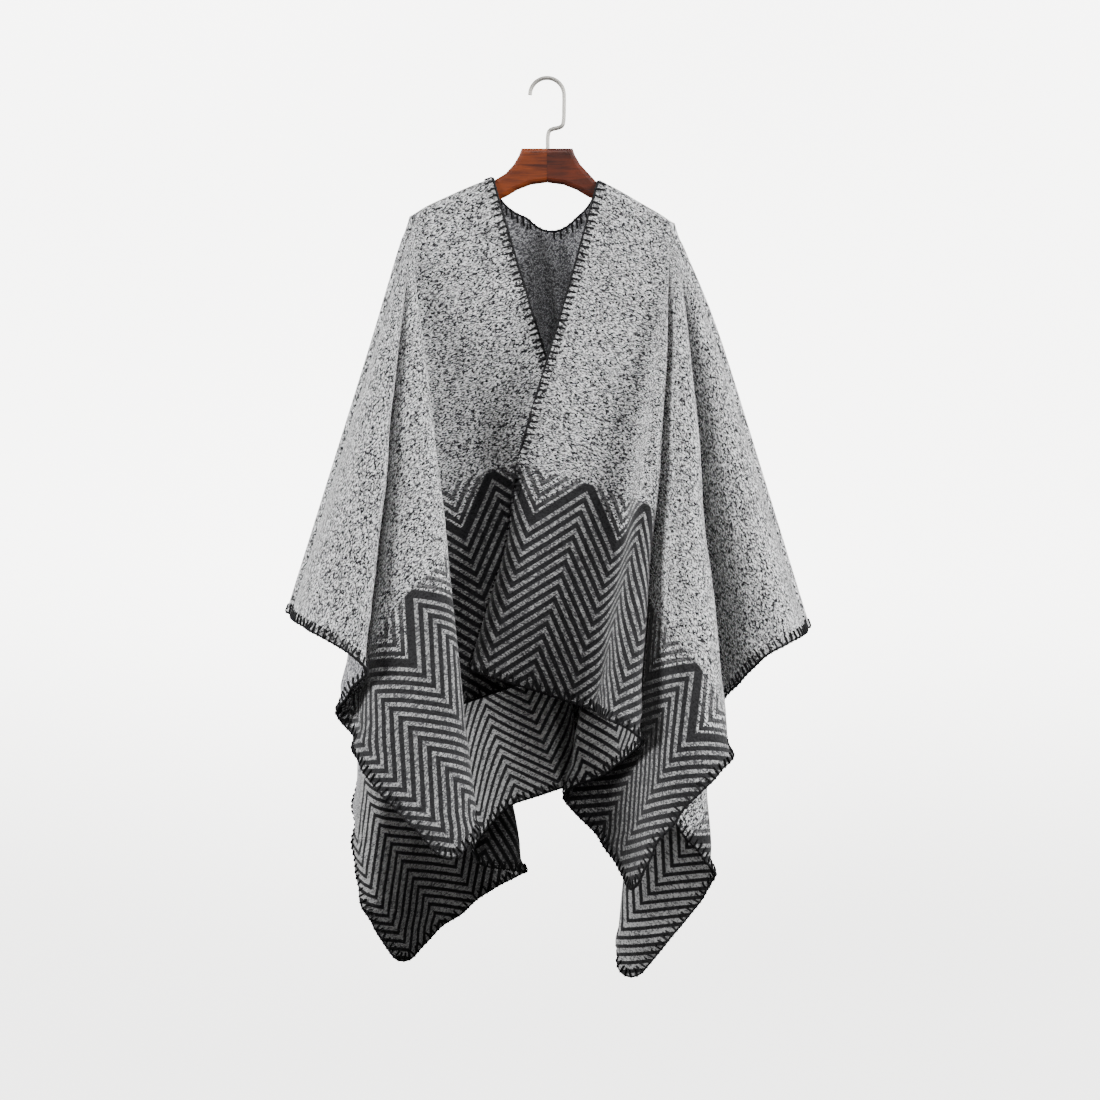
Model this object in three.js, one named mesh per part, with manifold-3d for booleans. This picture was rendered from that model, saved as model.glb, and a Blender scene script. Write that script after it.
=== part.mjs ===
// An open blanket poncho with a slit front, hanging on a wooden coat hanger.
// Millimetres, +Z up. The front faces -Y, and the origin is the point where the hook hangs.
//
// The cloth is one flat blanket folded over the shoulders. A place on it is given by across, its distance
// from the middle of the blanket, and down, its distance below the shoulder fold. Beyond each end of the
// hanger the cloth hangs in folds that fan out from that end, so each quarter is a cone: a ray of the cloth
// at a given angle round the hanger's end goes straight down in one direction of the fan.

import * as THREE from "three";
import Module from "manifold-3d";
import { mergeVertices } from "three/addons/utils/BufferGeometryUtils.js";

const degrees = Math.PI / 180;

// The blanket
const clothHalfWidth = 752;
const frontLengthLeft = 650;
const frontLengthRight = 675;
const backLengthLeft = 886;
const backLengthRight = 861;
const gatherLeft = { rise: 72, from: 445, to: 320 };
const gatherRight = { rise: 0, from: 445, to: 320 };
const neckHalfWidth = 75;
const neckDrop = 78;
const offCentre = 10;
const wall = 2.5;
const seamGap = 0.3;
const cornerRound = 26;
const foldRadius = 8.8;
const bendLength = 11;
const cornerCut = 5;
const cornerReach = 17;
const shoulderReach = 105;
const shoulderLeft = { inward: -4, drop: -3.5 };
const shoulderRight = { inward: 9, drop: 6 };
const biasStretch = 0.035;
const crestTurnReach = 30;
const normalStep = 0.8;
const crestDepth = (Math.PI * foldRadius) / 2;

// The hanger
const armSlope = 17 * degrees;
const armEndX = 178;
const armEndZ = -191;
const neckRise = 14;
const neckRiseReach = 160;
const neckSpan = 113;
const woodThickness = 13;
const woodRounding = 6;
const woodHalfHeight = 6.7;
const woodEndInset = 19;
const blockTop = -92.5;
const blockHalf = 34.5;
const glueGap = 0.3;
const wireRadius = 2.8;
const hookRadius = 23;
const stemDepth = 18;
const stemX = 1;

// How the cloth hangs at each side. swing is the angle inward from straight down and lift is the angle
// away from the hanger's plane, toward the viewer in front and away from the viewer behind, in degrees.
// planeEnd is the cloth angle where the flat part ends, and tilt is the lift of the flat part.
// Each row is one turn of a fold, in order from the flat part to the sleeve's outer fold.
const frontRight = {
  tilt: 6.5,
  planeEnd: 97,
  folds: [
    { swing: 9.6, lift: 7.2 }, { swing: 9.0, lift: 9.2 }, { swing: 8.0, lift: 10.8 },
    { swing: 6.4, lift: 11.2 }, { swing: 5.2, lift: 10.6 }, { swing: 4.9, lift: 9.0 },
    { swing: 5.9, lift: 6.9 }, { swing: 7.8, lift: 4.9 }, { swing: 10.0, lift: 3.9 },
    { swing: 11.6, lift: 3.4 }, { swing: 11.9, lift: 2.8 }, { swing: 10.6, lift: 2.4 },
    { swing: 9.0, lift: 2.5 }, { swing: 7.0, lift: 3.2 }, { swing: 5.6, lift: 4.8 },
    { swing: 4.4, lift: 7.0 }, { swing: 3.0, lift: 9.4 }, { swing: 0.6, lift: 11.6 },
    { swing: -1.8, lift: 12.0 }, { swing: -3.8, lift: 10.7 }, { swing: -4.7, lift: 8.6 },
    { swing: -4.1, lift: 6.2 }, { swing: -3.1, lift: 4.2 }, { swing: -3.8, lift: 2.9 },
    { swing: -5.8, lift: 5.0 }, { swing: -9.2, lift: 9.0 }, { swing: -13.0, lift: 10.0 },
    { swing: -16.2, lift: 6.5 },
  ],
};
const frontLeft = {
  tilt: 1.5,
  planeEnd: 103,
  folds: [
    { swing: -1.2, lift: 1.4 }, { swing: -3.6, lift: 1.6 }, { swing: -4.6, lift: 2.5 },
    { swing: -3.8, lift: 3.6 }, { swing: -1.0, lift: 4.4 }, { swing: 3.0, lift: 5.4 },
    { swing: 5.6, lift: 6.8 }, { swing: 6.3, lift: 8.6 }, { swing: 4.8, lift: 10.6 },
    { swing: 2.0, lift: 11.7 }, { swing: -0.8, lift: 12.0 }, { swing: -3.2, lift: 11.2 },
    { swing: -5.2, lift: 9.2 }, { swing: -5.6, lift: 7.2 }, { swing: -7.0, lift: 6.2 },
    { swing: -8.5, lift: 7.2 }, { swing: -7.4, lift: 8.9 }, { swing: -5.8, lift: 10.6 },
    { swing: -5.0, lift: 11.8 }, { swing: -5.8, lift: 12.9 }, { swing: -9.0, lift: 13.2 },
    { swing: -12.6, lift: 11.6 }, { swing: -15.8, lift: 7.8 },
  ],
};
const backLeft = {
  tilt: 7,
  planeEnd: 98,
  folds: [
    { swing: 5.2, lift: 7.2 }, { swing: 4.4, lift: 8.0 }, { swing: 5.6, lift: 8.7 },
    { swing: 8.2, lift: 9.2 }, { swing: 9.3, lift: 10.1 }, { swing: 8.6, lift: 11.3 },
    { swing: 5.6, lift: 11.8 }, { swing: 1.6, lift: 10.8 }, { swing: -1.8, lift: 9.0 },
    { swing: -4.4, lift: 7.8 }, { swing: -6.2, lift: 9.8 }, { swing: -7.0, lift: 13.0 },
    { swing: -6.0, lift: 16.0 }, { swing: -3.4, lift: 17.6 }, { swing: -1.0, lift: 16.6 },
    { swing: -0.4, lift: 14.4 }, { swing: -2.2, lift: 12.4 }, { swing: -3.6, lift: 10.4 },
    { swing: -3.9, lift: 8.0 }, { swing: -4.2, lift: 5.4 }, { swing: -6.2, lift: 4.2 },
    { swing: -8.6, lift: 5.4 }, { swing: -11.0, lift: 7.4 }, { swing: -13.6, lift: 7.2 },
    { swing: -15.8, lift: 5.0 },
  ],
};
const backRight = {
  tilt: 7,
  planeEnd: 98,
  folds: [
    { swing: 4.0, lift: 8.2 }, { swing: 0.8, lift: 9.6 }, { swing: -2.4, lift: 10.0 },
    { swing: -3.6, lift: 9.2 }, { swing: -2.8, lift: 8.2 }, { swing: 0, lift: 7.6 },
    { swing: 3.0, lift: 7.2 }, { swing: 4.8, lift: 6.2 }, { swing: 3.6, lift: 4.8 },
    { swing: 0, lift: 3.8 }, { swing: -2.4, lift: 2.9 }, { swing: -3.3, lift: 1.7 },
    { swing: -2.4, lift: 0.5 }, { swing: -0.5, lift: -0.3 }, { swing: 0.8, lift: -1.0 },
    { swing: 0, lift: -1.8 }, { swing: -2.4, lift: -1.4 }, { swing: -3.9, lift: 0.6 },
    { swing: -4.2, lift: 4.0 }, { swing: -3.9, lift: 8.0 }, { swing: -3.7, lift: 11.0 },
    { swing: -4.9, lift: 12.8 }, { swing: -7.2, lift: 12.8 }, { swing: -10.2, lift: 11.2 },
    { swing: -13.0, lift: 8.2 }, { swing: -15.4, lift: 4.8 },
  ],
};
const sleeveSwingLeft = -17.4;
const sleeveSwingRight = -17.1;

// The middle of the back hangs in deep folds, between a line down the cloth at each side of them.
const backFolds = 2;
const backFoldLeft = { top: 55, hem: 260 };
const backFoldRight = { top: 50, hem: 400 };
const backFoldArch = 75;
const backFoldEasing = 2.2;

// Mesh density
const fanStep = 0.5;
const rayStep = 1.8;
const flatRayStep = 9;
const rings = [0, 0.025, 0.06, 0.12, 0.22, 0.38, 0.66, 1];
const crestSteps = 4;
const backFoldColumns = 30;
const backFoldRows = 10;
const smoothingRadii = [0, 15, 30, 50, 75, 110, 160, 230, 330, 480, 700, 1100];

// The direction of a fan ray from its swing and lift: x inward, y to the back, z up
function fanDirection(swing, lift, facing) {
  const s = swing * degrees;
  const l = lift * degrees;
  return new THREE.Vector3(Math.sin(s) * Math.cos(l), facing * Math.sin(l), -Math.cos(s) * Math.cos(l));
}

// Where a ray of the flat part points, at a cloth angle from the arm
function flatRay(clothAngle, tilt) {
  const a = clothAngle * degrees;
  const t = tilt * degrees;
  const x = Math.cos(a) * Math.cos(armSlope) + Math.sin(a) * Math.sin(armSlope) * Math.cos(t);
  const y = Math.sin(a) * Math.sin(t);
  const z = Math.cos(a) * Math.sin(armSlope) - Math.sin(a) * Math.cos(armSlope) * Math.cos(t);
  return { swing: Math.atan2(x, -z) / degrees, lift: Math.asin(y) / degrees };
}

// The fan's directions along half a turn of cloth, with the folds deepened until the cloth fits exactly
function fanHalf(table, sleeveSwing, facing) {
  const flatAngles = [0, 15, 30, 45, 60, 75, table.planeEnd - 8, table.planeEnd];
  const flat = flatAngles.map((angle) => flatRay(angle, table.tilt));
  const directionsAt = (depth) => {
    const turns = table.folds.map((row) => ({ swing: row.swing, lift: row.lift * depth }));
    const keys = [...flat, ...turns, { swing: sleeveSwing, lift: 0 }];
    const points = keys.map((key) => new THREE.Vector3(key.swing, key.lift, 0));
    const curve = new THREE.CatmullRomCurve3(points, false, "centripetal");
    const samples = curve.getPoints(40 * (points.length - 1));
    return samples.map((p) => fanDirection(p.x, p.y, facing));
  };
  const lengths = (directions) => {
    const sums = [0];
    for (let i = 1; i < directions.length; i++) {
      sums.push(sums[i - 1] + directions[i].distanceTo(directions[i - 1]));
    }
    return sums;
  };
  let low = 0.4;
  let high = 2;
  for (let i = 0; i < 40; i++) {
    const middle = (low + high) / 2;
    if (lengths(directionsAt(middle)).at(-1) < Math.PI) low = middle;
    else high = middle;
  }
  const directions = directionsAt(low);
  const sums = lengths(directions);
  const total = sums.at(-1);
  const even = [];
  let k = 0;
  for (let i = 0; i <= 180 / fanStep; i++) {
    const wanted = (total * i * fanStep) / 180;
    while (k < sums.length - 2 && sums[k + 1] < wanted) k++;
    const part = (wanted - sums[k]) / (sums[k + 1] - sums[k]);
    even.push(directions[k].clone().lerp(directions[k + 1], Math.min(part, 1)));
  }
  return even;
}

// Great circle steps past the end of a run of directions
function runOn(last, before, count) {
  const angle = last.angleTo(before);
  const axis = new THREE.Vector3().crossVectors(before, last).normalize();
  return Array.from({ length: count }, (_, i) => last.clone().applyAxisAngle(axis, angle * (i + 1)));
}

// The directions averaged over a spread of cloth angle, as a bend near the hanger's end is wide
function spreadFan(fan, spread) {
  const reach = Math.ceil((3 * spread) / fanStep);
  const before = runOn(fan[0], fan[1], reach).reverse();
  const after = runOn(fan.at(-1), fan.at(-2), reach);
  const all = [...before, ...fan, ...after];
  const weights = [];
  for (let i = -reach; i <= reach; i++) weights.push(Math.exp(-0.5 * ((i * fanStep) / spread) ** 2));
  const sum = weights.reduce((a, b) => a + b, 0) * Math.exp(-0.5 * (spread * degrees) ** 2);
  return fan.map((_, i) => {
    const mean = new THREE.Vector3();
    weights.forEach((weight, j) => mean.addScaledVector(all[i + j], weight / sum));
    return mean;
  });
}

function smoothStep(value) {
  const v = Math.min(Math.max(value, 0), 1);
  return v * v * (3 - 2 * v);
}

// How far the cloth is drawn in and down round the hanger's end: the corner itself, and the whole shoulder
function shoulderMove(shoulder, radius) {
  const corner = (cornerCut * Math.exp(-((radius / cornerReach) ** 2))) / Math.SQRT2;
  const wide = Math.exp(-((radius / shoulderReach) ** 2));
  return { inward: corner + shoulder.inward * wide, drop: corner + shoulder.drop * wide };
}

// One side of the cloth, left or right of the hanger's middle
function clothSide(sign, front, back, sleeveSwing, shoulder, backLength, gather) {
  const endAcross = neckHalfWidth + neckSpan - sign * offCentre;
  const neckAcross = neckHalfWidth - sign * offCentre;
  const half = [fanHalf(front, sleeveSwing, -1), fanHalf(back, sleeveSwing, 1)];
  const fan = [...half[0], ...half[1].reverse().slice(1)];
  const fans = smoothingRadii.map((radius) => {
    const spread = Math.min(bendLength / Math.max(radius, 12) / degrees, 40);
    return spreadFan(fan, spread);
  });
  const directionAt = (radius, clothAngle) => {
    let i = 0;
    while (i < smoothingRadii.length - 2 && smoothingRadii[i + 1] < radius) i++;
    const part = (radius - smoothingRadii[i]) / (smoothingRadii[i + 1] - smoothingRadii[i]);
    const place = Math.min(clothAngle / fanStep, fan.length - 1.001);
    const k = Math.floor(place);
    const inner = fans[i][k].clone().lerp(fans[i][k + 1], place - k);
    const outer = fans[i + 1][k].clone().lerp(fans[i + 1][k + 1], place - k);
    return inner.lerp(outer, part);
  };
  // The middle of the wall at a place on the cloth, where down is negative behind
  const place = (across, down) => {
    const facing = down < 0 ? 1 : -1;
    const depth = Math.abs(down);
    const turn = Math.min(depth / foldRadius, Math.PI / 2);
    const hang = Math.max(0, depth - crestDepth);
    const radius = Math.hypot(across - endAcross, hang);
    const angle = Math.atan2(hang, endAcross - across) / degrees;
    const onBias = angle > 90 ? Math.sin(2 * angle * degrees) ** 2 : 0;
    const reach = radius * (1 + biasStretch * onBias);
    const point = directionAt(radius, down < 0 ? 360 - angle : angle).multiplyScalar(reach);
    const past = smoothStep((across - endAcross) / (2 * crestTurnReach) + 0.5);
    const swing = sleeveSwing * degrees;
    const up = new THREE.Vector3(-Math.sin(armSlope), 0, Math.cos(armSlope)).multiplyScalar(1 - past);
    up.add(new THREE.Vector3(-Math.cos(swing), 0, -Math.sin(swing)).multiplyScalar(past)).normalize();
    point.addScaledVector(up, foldRadius * Math.cos(turn));
    point.y += facing * foldRadius * Math.sin(turn);
    const rise = neckRise * (1 - smoothStep((across - neckAcross) / (endAcross - neckAcross)));
    point.z += rise * Math.exp(-depth / neckRiseReach);
    const move = shoulderMove(shoulder, radius);
    point.x += move.inward;
    point.z -= move.drop;
    if (down < 0) {
      const gathered = smoothStep((gather.from - across) / (gather.from - gather.to));
      point.z += gather.rise * gathered * (depth / backLength) ** 2;
    }
    return new THREE.Vector3(sign * (armEndX - point.x), point.y, armEndZ + point.z);
  };
  return { sign, endAcross, neckAcross, backLength, place };
}

// Where a ray from the hanger's end, at a cloth angle, leaves a square cloth quarter
function quarterEdge(side, length, clothAngle) {
  const a = clothAngle * degrees;
  const toEdge = (side.endAcross - side.neckAcross) / Math.max(Math.cos(a), 1e-9);
  const toHem = (length - crestDepth) / Math.max(Math.sin(a), 1e-9);
  const toSide = (clothHalfWidth - side.endAcross) / Math.max(-Math.cos(a), 1e-9);
  const reach = Math.min(toEdge, toHem, toSide);
  return { across: side.endAcross - reach * Math.cos(a), down: crestDepth + reach * Math.sin(a) };
}

// The corner of a hem with an edge, cut round. outward is 1 at the sleeve edge and -1 at the front edge.
function roundCorner(point, cornerAcross, length, outward) {
  const u = cornerRound - (cornerAcross - point.across) * outward;
  const v = cornerRound - (length - point.down);
  const over = Math.hypot(u, v) / cornerRound;
  if (u <= 0 || v <= 0 || over <= 1) return point;
  return {
    across: cornerAcross - outward * (cornerRound - u / over),
    down: length - cornerRound + v / over,
  };
}

function angleTo(side, across, down) {
  return Math.atan2(down - crestDepth, side.endAcross - across) / degrees;
}

// Cloth angles of the rays: wide apart in the flat part, close in the folds and at the corners
function rayAngles(from, planeEnd, corners) {
  const closeFrom = Math.max(planeEnd - 3, from);
  const angles = [];
  for (let a = from; a < closeFrom; a += flatRayStep) angles.push(a);
  for (let a = closeFrom; a < 179; a += rayStep) angles.push(a);
  angles.push(180);
  for (const corner of corners) {
    for (const shift of [-1.6, -0.7, 0, 0.7, 1.6]) angles.push(corner + shift);
  }
  angles.sort((a, b) => a - b);
  return angles.filter((a, i) => i === 0 || a - angles[i - 1] > 0.35 || a === 180);
}

function frontOutline(side, table, length) {
  const corners = [angleTo(side, side.neckAcross, length), angleTo(side, clothHalfWidth, length)];
  return rayAngles(0, table.planeEnd, corners).map((angle) => {
    const edge = roundCorner(quarterEdge(side, length, angle), side.neckAcross, length, -1);
    return roundCorner(edge, clothHalfWidth, length, 1);
  });
}

// How far the back's neck curve lies below the shoulder fold
function neckCurve(side, across) {
  return crestDepth + (neckDrop - crestDepth) * Math.sqrt(Math.max(0, 1 - (across / side.neckAcross) ** 2));
}

// The line down the back where a half of it goes into the middle folds, from the neck at 0 to the hem at 1
function backFoldLine(side, line, share) {
  const start = neckCurve(side, line.top);
  return {
    across: line.top + (line.hem - line.top) * share,
    down: start + (side.backLength - start) * share,
  };
}

function backOutline(side, table, line) {
  const neck = [];
  for (const part of [0, 0.35, 0.7]) {
    const across = side.neckAcross + (line.top - side.neckAcross) * part;
    neck.push({ across, down: neckCurve(side, across) });
  }
  const foldEdge = [];
  for (let i = 0; i <= backFoldRows; i++) foldEdge.push(backFoldLine(side, line, i / backFoldRows));
  const length = side.backLength;
  const from = angleTo(side, line.hem, length) + 2.5;
  const hem = rayAngles(from, table.planeEnd, [angleTo(side, clothHalfWidth, length)])
    .map((angle) => roundCorner(quarterEdge(side, length, angle), clothHalfWidth, length, 1));
  return [...neck, ...foldEdge, ...hem];
}

// The wall's two faces at a place, from the middle surface and the way its normal points
function wallPoint(surface, u, v, outward, step) {
  const middle = surface(u, v);
  const alongU = surface(u + step.u, v).sub(surface(u - step.u, v));
  const alongV = surface(u, v + step.v).sub(surface(u, v - step.v));
  const normal = new THREE.Vector3().crossVectors(alongV, alongU).normalize().multiplyScalar(outward);
  return {
    outer: middle.clone().addScaledVector(normal, wall / 2),
    inner: middle.addScaledVector(normal, -wall / 2),
  };
}

// A quarter of the cloth as two grids: the crest over the hanger, and the fan of rays below it
function quarterGrids(side, outline, facing) {
  const surface = (across, down) => side.place(across, down * -facing);
  const outward = side.sign * -facing;
  const step = { u: normalStep, v: normalStep };
  const point = (across, down) => wallPoint(surface, across, down, outward, step);
  const fan = rings.map((share) =>
    outline.map((end) => point(
      side.endAcross + (end.across - side.endAcross) * share,
      crestDepth + (end.down - crestDepth) * share,
    )));
  const toward = (end) => (share) => side.endAcross + (end.across - side.endAcross) * share;
  const columns = [
    ...rings.slice(1).reverse().map(toward(outline[0])),
    ...rings.map(toward(outline.at(-1))),
  ];
  const crest = [];
  for (let i = 0; i <= crestSteps; i++) {
    const down = Math.max((crestDepth * i) / crestSteps, seamGap / 2);
    crest.push(columns.map((across) => point(across, down)));
  }
  return [fan, crest];
}

// The heading of a cross-section through the middle folds that takes up a given share of its own length
function foldHeading(share) {
  let low = 0;
  let high = 2.15;
  const mean = (heading) => {
    let sum = 0;
    for (let i = 0; i < 200; i++) sum += Math.cos(heading * Math.sin((2 * Math.PI * (i + 0.5)) / 200));
    return sum / 200;
  };
  for (let i = 0; i < 40; i++) {
    const middle = (low + high) / 2;
    if (mean(middle) > share) low = middle;
    else high = middle;
  }
  return low;
}

// How far the neck curve's lowest place lies below its ends at the middle folds
function neckScoop(left, right) {
  return neckDrop - (neckCurve(left, backFoldLeft.top) + neckCurve(right, backFoldRight.top)) / 2;
}

// The middle folds of the back: each cross-section winds back and forth between the two halves
function backFoldSurface(left, right) {
  const sections = new Map();
  const sectionAt = (share) => {
    if (sections.has(share)) return sections.get(share);
    const a = backFoldLine(left, backFoldLeft, share);
    const b = backFoldLine(right, backFoldRight, share);
    const start = left.place(a.across, -a.down);
    const end = right.place(b.across, -b.down);
    const width = a.across + b.across;
    const chord = end.clone().sub(start);
    const heading = foldHeading(chord.x / width) * smoothStep(0.15 + backFoldEasing * share);
    const steps = 240;
    const points = [new THREE.Vector2()];
    for (let i = 0; i < steps; i++) {
      const turn = heading * Math.sin((2 * Math.PI * backFolds * (i + 0.5)) / steps);
      const step = new THREE.Vector2(Math.cos(turn), Math.sin(turn)).multiplyScalar(width / steps);
      points.push(points[i].clone().add(step));
    }
    const stretch = chord.x / points.at(-1).x;
    const section = { a, b, start, chord, points, steps, stretch };
    sections.set(share, section);
    return section;
  };
  return (u, share) => {
    const s = sectionAt(share);
    const place = Math.min(Math.max(u, 0), 1) * s.steps;
    const k = Math.min(Math.floor(place), s.steps - 1);
    const flat = s.points[k].clone().lerp(s.points[k + 1], place - k);
    const middle = 1 - (2 * u - 1) ** 2;
    const arch = backFoldArch * share - neckScoop(left, right) * Math.max(1 - 3 * share, 0);
    return new THREE.Vector3(
      s.start.x + flat.x * s.stretch,
      s.start.y + s.chord.y * u + flat.y,
      s.start.z + s.chord.z * u + arch * middle,
    );
  };
}

// A wall point on the edge of a half, moved across the seam gap toward the next point of the middle folds
function acrossSeam(cell, next) {
  const shift = next.outer.clone().sub(cell.outer).setLength(seamGap);
  return { outer: cell.outer.clone().add(shift), inner: cell.inner.clone().add(shift) };
}

// The grid of the middle folds. Its first and last columns follow the edges of the two halves.
function backFoldGrid(left, right, leftEdge, rightEdge) {
  const surface = backFoldSurface(left, right);
  const rows = [];
  for (let i = 0; i <= backFoldRows; i++) {
    const share = i / backFoldRows;
    const row = [];
    for (let j = 1; j < backFoldColumns; j++) {
      const u = j / backFoldColumns;
      row.push(wallPoint(surface, u, share, -1, { u: 0.004, v: 0.004 }));
    }
    const ends = [acrossSeam(leftEdge[i], row[0]), acrossSeam(rightEdge[i], row.at(-1))];
    rows.push([ends[0], ...row, ends[1]]);
  }
  return rows;
}

// Grids of wall points become one closed wall: both faces, and a rim along every free edge
function wallSolid(grids) {
  const ids = new Map();
  const points = [];
  const idOf = (cell) => {
    const key = cell.outer.toArray().map((v) => Math.round(v * 500)).join(",");
    if (!ids.has(key)) {
      ids.set(key, points.length);
      points.push(cell);
    }
    return ids.get(key);
  };
  const triangles = [];
  const addTriangle = (a, b, c) => {
    if (a !== b && b !== c && c !== a) triangles.push([a, b, c]);
  };
  for (const { rows, flip } of grids) {
    for (let i = 0; i + 1 < rows.length; i++) {
      for (let j = 0; j + 1 < rows[i].length; j++) {
        const [a, b, c, d] = [rows[i][j], rows[i][j + 1], rows[i + 1][j + 1], rows[i + 1][j]].map(idOf);
        if (flip) {
          addTriangle(a, c, b);
          addTriangle(a, d, c);
        } else {
          addTriangle(a, b, c);
          addTriangle(a, c, d);
        }
      }
    }
  }
  const edges = new Set(triangles.flatMap(([a, b, c]) => [`${a},${b}`, `${b},${c}`, `${c},${a}`]));
  const count = points.length;
  const faces = [];
  for (const [a, b, c] of triangles) {
    faces.push([a, b, c], [a + count, c + count, b + count]);
    for (const [p, q] of [[a, b], [b, c], [c, a]]) {
      if (!edges.has(`${q},${p}`)) faces.push([q, p, p + count], [q, p + count, q + count]);
    }
  }
  const positions = [...points.map((cell) => cell.outer), ...points.map((cell) => cell.inner)];
  const numbers = positions.flatMap((p) => p.toArray());
  const geometry = new THREE.BufferGeometry();
  geometry.setAttribute("position", new THREE.Float32BufferAttribute(numbers, 3));
  geometry.setIndex(faces.flat());
  geometry.computeVertexNormals();
  return geometry;
}

// The cloth
const leftSide = clothSide(-1, frontLeft, backLeft, sleeveSwingLeft, shoulderLeft, backLengthLeft, gatherLeft);
const rightSide = clothSide(1, frontRight, backRight, sleeveSwingRight, shoulderRight, backLengthRight, gatherRight);

function frontPanel(side, table, length) {
  const [fan, crest] = quarterGrids(side, frontOutline(side, table, length), -1);
  const flip = side.sign > 0;
  return wallSolid([{ rows: fan, flip }, { rows: crest, flip }]);
}

// The back is one cloth, parted into two halves and the folds between them
function backPanels() {
  const halves = [
    { side: leftSide, outline: backOutline(leftSide, backLeft, backFoldLeft), flip: true },
    { side: rightSide, outline: backOutline(rightSide, backRight, backFoldRight), flip: false },
  ];
  const panels = [];
  const edges = halves.map(({ side, outline, flip }) => {
    const [fan, crest] = quarterGrids(side, outline, 1);
    panels.push(wallSolid([{ rows: fan, flip }, { rows: crest, flip }]));
    return fan.at(-1).slice(3, 3 + backFoldRows + 1);
  });
  panels.push(wallSolid([{ rows: backFoldGrid(leftSide, rightSide, ...edges), flip: false }]));
  return panels;
}

// The hanger's wood
const wasm = await Module();
wasm.setup();

function toSolid(geometry) {
  const bare = geometry.clone();
  bare.deleteAttribute("normal");
  bare.deleteAttribute("uv");
  const merged = mergeVertices(bare, 1e-4);
  const mesh = new wasm.Mesh({
    numProp: 3,
    vertProperties: new Float32Array(merged.attributes.position.array),
    triVerts: new Uint32Array(merged.index.array),
  });
  return new wasm.Manifold(mesh);
}

function toGeometry(solid) {
  const mesh = solid.getMesh();
  const geometry = new THREE.BufferGeometry();
  geometry.setAttribute("position", new THREE.BufferAttribute(new Float32Array(mesh.vertProperties), 3));
  geometry.setIndex(new THREE.BufferAttribute(new Uint32Array(mesh.triVerts), 1));
  geometry.computeVertexNormals();
  return geometry;
}

// The top of an arm lies just under the crest of the cloth
function armTop(fromEnd, shoulder) {
  const rise = neckRise * (1 - smoothStep(1 - fromEnd / neckSpan));
  const move = shoulderMove(shoulder, fromEnd);
  const x = armEndX - fromEnd * Math.cos(armSlope) - move.inward;
  return [x, armEndZ + fromEnd * Math.sin(armSlope) + rise - move.drop + woodHalfHeight];
}

// The wood's outline from the middle of its top to the middle of its foot, right of the seam
function armOutline(shoulder) {
  const lowerEdge = [
    [148, -205], [120, -188], [88, -172], [55, -157.5], [40, -148.5], [22, -141.5],
  ];
  const outline = [[blockHalf, blockTop], [38, -102], [45, -114], [56, -126]];
  for (let r = neckSpan - 2; r > woodEndInset + 3; r -= 12) outline.push(armTop(r, shoulder));
  const [endX, endTop] = armTop(woodEndInset, shoulder);
  for (const turn of [90, 50, 10, -30]) {
    const a = turn * degrees;
    const height = endTop - woodHalfHeight + Math.sin(a) * woodHalfHeight;
    outline.push([endX + Math.cos(a) * woodHalfHeight, height]);
  }
  return [...outline, ...lowerEdge];
}

function woodOutline() {
  const right = armOutline(shoulderRight).map(([x, z]) => new THREE.Vector2(x, z));
  const left = armOutline(shoulderLeft).map(([x, z]) => new THREE.Vector2(-x, z));
  return new THREE.Shape([...right, new THREE.Vector2(0, -138.5), ...left.reverse()]);
}

function hookPath() {
  const stem = [
    [stemX, blockTop - stemDepth], [stemX, blockTop], [1.5, -74], [3.4, -68.6], [8.5, -66], [16, -64.3],
    [20.8, -61.4], [22.4, -55], [hookRadius, -40],
  ];
  const points = stem.map(([x, z]) => new THREE.Vector3(x, 0, z));
  for (let turn = 0; turn <= 180; turn += 15) {
    const a = turn * degrees;
    const z = wireRadius - hookRadius + hookRadius * Math.sin(a);
    points.push(new THREE.Vector3(hookRadius * Math.cos(a), 0, z));
  }
  return new THREE.CatmullRomCurve3(points, false, "centripetal");
}

function wood() {
  const geometry = new THREE.ExtrudeGeometry(woodOutline(), {
    depth: woodThickness - 2 * woodRounding,
    bevelThickness: woodRounding,
    bevelSize: woodRounding,
    bevelOffset: -woodRounding,
    bevelSegments: 3,
  });
  geometry.translate(0, 0, woodRounding - woodThickness / 2);
  geometry.rotateX(Math.PI / 2);
  const holeRadius = wireRadius + glueGap;
  const hole = new THREE.CylinderGeometry(holeRadius, holeRadius, 2 * stemDepth + 1, 12);
  hole.rotateX(Math.PI / 2);
  hole.translate(stemX, 0, blockTop);
  return toSolid(geometry).subtract(toSolid(hole));
}

// One half of the wood, left or right of the glued seam
function woodHalf(whole, sign) {
  const half = new THREE.BoxGeometry(400, 100, 400);
  half.translate(sign * (200 + glueGap / 2), 0, armEndZ);
  return toGeometry(whole.intersect(toSolid(half)));
}

function hook() {
  const section = new THREE.Shape();
  section.absarc(0, 0, wireRadius, 0, Math.PI * 2);
  return new THREE.ExtrudeGeometry(section, { steps: 72, curveSegments: 5, extrudePath: hookPath() });
}

const poncho = new THREE.Group();

function addPart(name, geometry, colour, roughness, metalness) {
  const material = new THREE.MeshStandardMaterial({ color: colour, roughness, metalness });
  const mesh = new THREE.Mesh(geometry, material);
  mesh.name = name;
  poncho.add(mesh);
}

addPart("front_left", frontPanel(leftSide, frontLeft, frontLengthLeft), 0x8f8f8f, 0.95, 0);
addPart("front_right", frontPanel(rightSide, frontRight, frontLengthRight), 0x979797, 0.95, 0);
const [backLeftHalf, backRightHalf, backMiddle] = backPanels();
addPart("back_left", backLeftHalf, 0x7c7c7c, 0.95, 0);
addPart("back_right", backRightHalf, 0x7a7a7a, 0.95, 0);
addPart("back_middle", backMiddle, 0x767676, 0.95, 0);

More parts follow.
